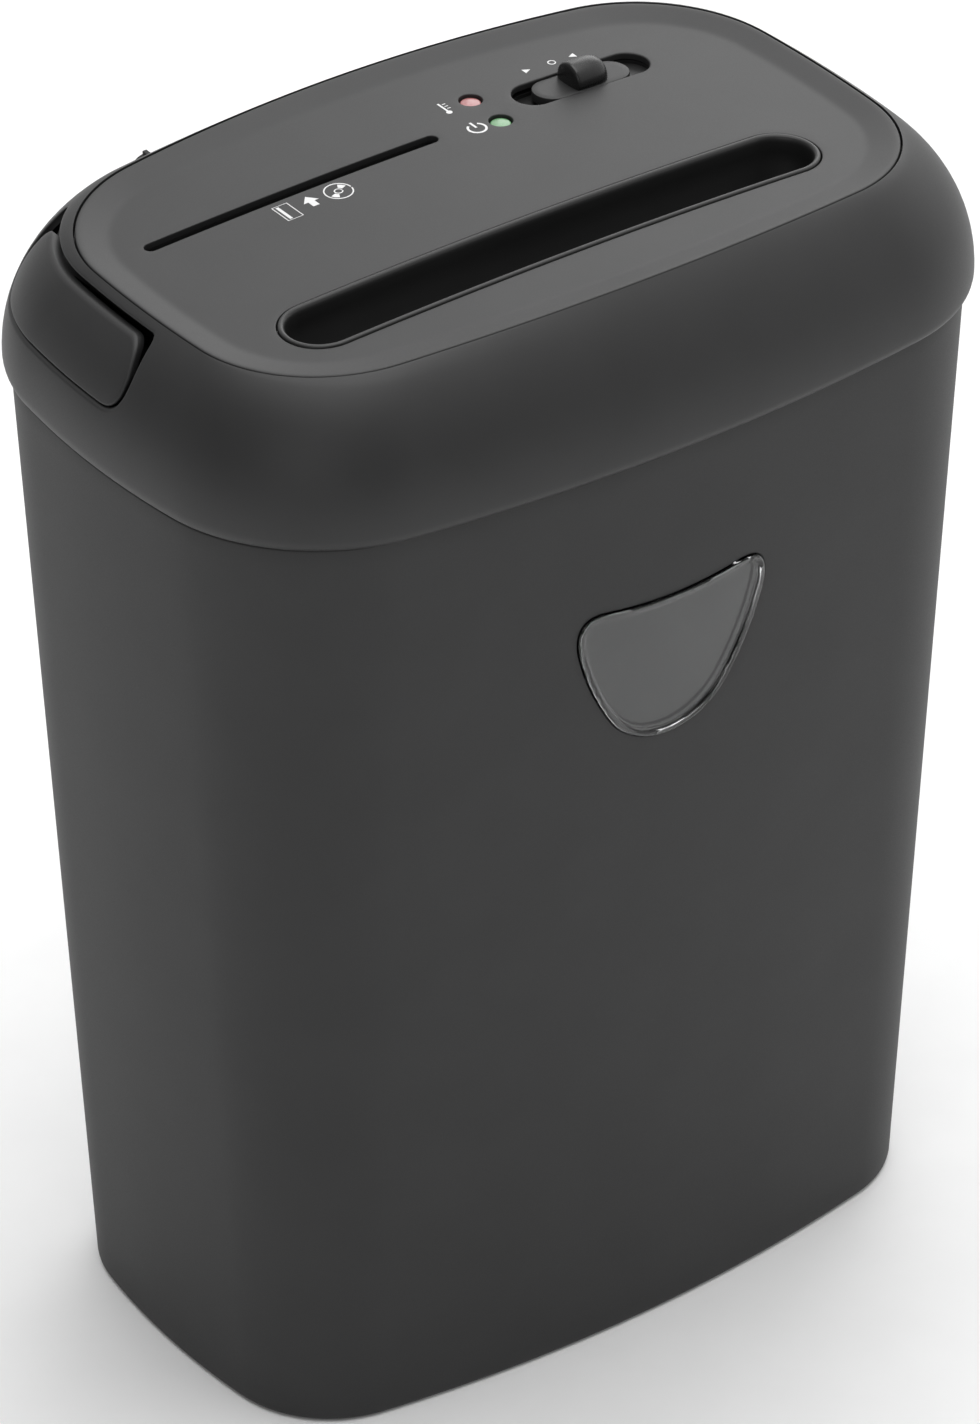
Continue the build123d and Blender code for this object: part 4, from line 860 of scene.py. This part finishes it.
def mode_slider():
    """Slider plate, nearly flush with the top, and its round-backed finger knob."""
    knob_top = cad("mode_slider")[1][2]
    x, y = SWITCH_CENTRE
    build = Build()
    length, width = 43.5, 16.2
    profile = [(0.4, -4.6), (0.0, -4.2), (0.0, -1.1), (0.12, -0.75), (0.45, -0.6), (3.0, -0.6)]
    rings = [[(px, py, crown(px, DISH) + rise)
              for px, py in stadium(length - 2 * over, width - 2 * over, SWITCH_CENTRE)]
             for over, rise in profile]
    first = build.row(rings[0])
    build.cap(build.rows(first, rings[1:]), (x, y, crown(x, DISH) - 0.6))
    build.cap(first, (x, y, crown(x, DISH) - 4.6))
    build.make("switch_plate", "switch_slider", "switch_plastic", replaces=["mode_slider"],
               material=MATERIALS["head_plastic"])

    knob = Build()
    left, right, half = x - 6.0, x + 9.5, 7.4
    foot = crown(x, DISH) - 1.6
    centre_z = knob_top - half
    turns = [radians(-20 + 220 * k / 32) for k in range(33)]
    section = [(half * cos(turn), centre_z + half * sin(turn)) for turn in turns]
    section += [(-half * 0.86, foot), (half * 0.86, foot)]

    def slice_at(px, share):
        return [(px, y + a * share, foot + (z - foot) * share) for a, z in section]

    # places along the knob and the share of the full section there: a steep left end, a sloping right one
    sweep = [(left - 0.9, 0.35), (left - 0.75, 0.6), (left - 0.45, 0.82), (left - 0.15, 0.93),
             (left + 0.1, 0.97), (left + 0.5, 0.995), (left + 1.1, 1.0), (right - 7.5, 1.0),
             (right - 5.0, 0.985), (right - 3.0, 0.93), (right - 1.6, 0.85), (right - 0.6, 0.74),
             (right - 0.1, 0.6), (right, 0.45)]
    first = knob.row(slice_at(*sweep[0]))
    last = knob.rows(first, [slice_at(*part) for part in sweep[1:]])
    knob.cap(first, (left - 0.95, y, foot + 2.5))
    knob.cap(last, (right, y, foot + 1.5))
    knob.make("switch_knob", "switch_slider", "switch_plastic", sharp=50)


def light(node, slot):
    low, high = cad(node)
    y = LIGHT_Y[node]
    build = Build()
    radius, top = 4.2, high[2]
    profile = [(2.4, low[2]), (2.5, top - 4.5), (radius, top - 4.2), (radius, top - 0.9)]
    profile += [(radius - 0.9 + 0.9 * cos(a), top - 0.9 + 0.7 * sin(a))
                for a in [pi / 2 * k / 5 for k in range(1, 6)]]
    profile.append((1.6, top - 0.05))
    rings = [[(px, py, z) for px, py in circle((LIGHT_X, y), r)] for r, z in profile]
    first = build.row(rings[0])
    build.cap(build.rows(first, rings[1:]), (LIGHT_X, y, top))
    build.cap(first, (LIGHT_X, y, low[2]))
    return build.make(f"{node}_lens", "head", slot, replaces=[node])


# ================= printed marks =================
class Marks(Build):
    """Thin prints on the top plate's flat, proud of it by 0.05 mm and sunk 0.04 mm into it."""

    def patch(self, outer, holes=()):
        """A flat printed shape; outer and holes are loops of (x, y)."""
        outer = anticlockwise([tuple(p) for p in outer])
        holes = [anticlockwise([tuple(p) for p in hole]) for hole in holes]
        flat = triangulate(outer, holes, [], 0.1)
        proud, sunk = 0.05, 0.04
        top = self.sheet(flat, lambda x, y: (x, y, crown(x, DISH - proud)))
        under = self.sheet(flat, lambda x, y: (x, y, crown(x, DISH + sunk)))
        for a, b in zip(top, under):
            self.bridge(a, b)

    def band(self, path, width, closed=False):
        """A printed line of even width along a path."""
        path = [Vector(p) for p in path]
        count = len(path)
        left, right = [], []
        for k in range(count):
            ahead = path[(k + 1) % count] if closed or k < count - 1 else path[k]
            back = path[k - 1] if closed or k > 0 else path[k]
            step = (ahead - back).normalized()
            side = Vector((-step.y, step.x)) * width / 2
            left.append(tuple(path[k] + side))
            right.append(tuple(path[k] - side))
        if closed:
            area = sum(a[0] * b[1] - b[0] * a[1] for a, b in zip(left, left[1:] + left[:1]))
            other = sum(a[0] * b[1] - b[0] * a[1] for a, b in zip(right, right[1:] + right[:1]))
            outer, hole = (left, right) if abs(area) > abs(other) else (right, left)
            self.patch(outer, [hole])
        else:
            self.patch(left + right[::-1])


def arc_path(centre, radius, start, stop, count=28):
    """Points of an arc between two angles in degrees."""
    turns = [radians(start + (stop - start) * k / count) for k in range(count + 1)]
    return [(centre[0] + radius * cos(turn), centre[1] + radius * sin(turn)) for turn in turns]


def printed_marks():
    marks = Marks()
    # power: an open ring with a bar through its gap
    power = (19.0, 35.6)
    marks.band(arc_path(power, 3.6, 125, 415), 0.95)
    marks.band([(power[0], power[1] + 0.4), (power[0], power[1] + 4.9)], 0.95)
    # temperature: a bulb with a stem and two short graduations
    heat = (17.3, 55.4)
    marks.patch(circle((heat[0] + 0.4, heat[1] - 3.4), 1.25, 24))
    marks.band([(heat[0] + 0.4, heat[1] - 2.5), (heat[0] + 0.4, heat[1] + 4.4)], 0.85)
    for rise in (-0.6, 1.2, 3.0):
        marks.band([(heat[0] + 1.5, heat[1] + rise), (heat[0] + 3.0, heat[1] + rise)], 0.45)
    # card: a plain frame with a stripe
    card = [(-78.2, 32.9), (-71.5, 32.9), (-71.5, 21.7), (-78.2, 21.7)]
    marks.band(card, 0.45, closed=True)
    marks.band([(-76.4, 32.2), (-76.4, 22.4)], 1.3)
    # arrow towards the narrow slot
    marks.patch([(-64.9, 24.5), (-62.1, 24.5), (-62.1, 28.0), (-60.1, 28.0), (-63.5, 32.2), (-66.9, 28.0),
                 (-64.9, 28.0)])
    # disc: ring, hub and two highlights
    disc = (-51.0, 28.0)
    marks.band(arc_path(disc, 5.6, 0, 352, 44), 0.55)
    marks.band(arc_path(disc, 1.6, 0, 345, 24), 0.5)
    for turn in (20, 200):
        inner = arc_path(disc, 2.3, turn, turn + 42, 8)
        outer = arc_path(disc, 4.7, turn, turn + 42, 8)
        marks.patch(inner + outer[::-1])
    # switch positions: on, off and back, as plain symbols
    row = 62.0
    marks.patch([(60.4, row - 1.6), (60.4, row + 1.6), (63.4, row)])
    marks.band(arc_path((73.8, row), 1.5, 0, 350, 20), 0.5)
    marks.patch([(85.0, row - 1.6), (85.0, row + 1.6), (82.0, row)])
    return marks.make("printed_marks", "head", "gear_nylon", sharp=60, material=MARK_WHITE)


# ================= stage, lights and camera =================
def soft_light(name, place, aim, size, power):
    data = bpy.data.lights.new(name, "AREA")
    data.shape = "RECTANGLE"
    data.size, data.size_y = size
    data.energy = power
    lamp = bpy.data.objects.new(name, data)
    bpy.context.scene.collection.objects.link(lamp)
    lamp.location = place
    lamp.rotation_mode = "QUATERNION"
    lamp.rotation_quaternion = (Vector(aim) - Vector(place)).to_track_quat("-Z", "Y")


def studio():
    scene = bpy.context.scene
    scene.view_settings.view_transform = "Standard"
    world = bpy.data.worlds.new("studio")
    scene.world = world
    world.use_nodes = True
    nodes, links = world.node_tree.nodes, world.node_tree.links
    towards = nodes.new("ShaderNodeVectorMath")
    towards.operation = "DOT_PRODUCT"
    towards.inputs[1].default_value = Vector((0.8, 0.3, 0.5)).normalized()
    links.new(nodes.new("ShaderNodeTexCoord").outputs["Generated"], towards.inputs[0])
    fade = nodes.new("ShaderNodeMapRange")
    fade.inputs["From Min"].default_value = -0.1
    fade.inputs["From Max"].default_value = 0.9
    fade.inputs["To Min"].default_value = 0.25
    fade.inputs["To Max"].default_value = 1.2
    links.new(towards.outputs["Value"], fade.inputs["Value"])
    links.new(fade.outputs["Result"], nodes["Background"].inputs["Strength"])
    nodes["Background"].inputs["Color"].default_value = (1.0, 1.0, 1.0, 1)
    mesh = bpy.data.meshes.new("floor")
    reach = 9.0
    mesh.from_pydata([(-reach, -reach, 0), (reach, -reach, 0), (reach, reach, 0), (-reach, reach, 0)], [],
                     [(0, 1, 2, 3)])
    floor = bpy.data.objects.new("floor", mesh)
    scene.collection.objects.link(floor)
    mesh.materials.append(moulded("floor_white", (0.93, 0.93, 0.93), 0.8, 40.0, 0.01, 0.01, specular=0.2))
    soft_light("key", (1.9, 1.5, 1.7), (0, 0, 0.35), (1.6, 1.6), 12)
    soft_light("overhead", (0, 0, 3.4), (0, 0, 0), (3.0, 3.0), 60)
    soft_light("fill", (-2.2, -1.8, 1.6), (0, 0, 0.3), (2.0, 1.6), 8)


def camera():
    """A long lens, above and to the left of the front."""
    data = bpy.data.cameras.new("camera")
    data.sensor_fit = "AUTO"
    data.angle = radians(11.1033)
    data.clip_end = 50
    cam = bpy.data.objects.new("camera", data)
    bpy.context.scene.collection.objects.link(cam)
    yaw, pitch, roll = radians(-35.776), radians(33.813), radians(-0.322)
    back = Vector((sin(yaw) * cos(pitch), -cos(yaw) * cos(pitch), sin(pitch)))
    right = Vector((cos(yaw), sin(yaw), 0))
    up = back.cross(right)
    turned_right = right * cos(roll) + up * sin(roll)
    turned_up = up * cos(roll) - right * sin(roll)
    place = Vector((-1.41158, -1.95597, 1.85625))
    axes = Matrix((turned_right, turned_up, back)).transposed()
    cam.matrix_world = Matrix.Translation(place) @ axes.to_4x4()
    bpy.context.scene.camera = cam


dress_cad_nodes()
camera()
studio()
bin_shell()
window_lens()
head_cover()
top_plate()
carry_handle()
throat()
mode_slider()
light("led_overheat", "red_lens")
light("led_power", "green_lens")
printed_marks()
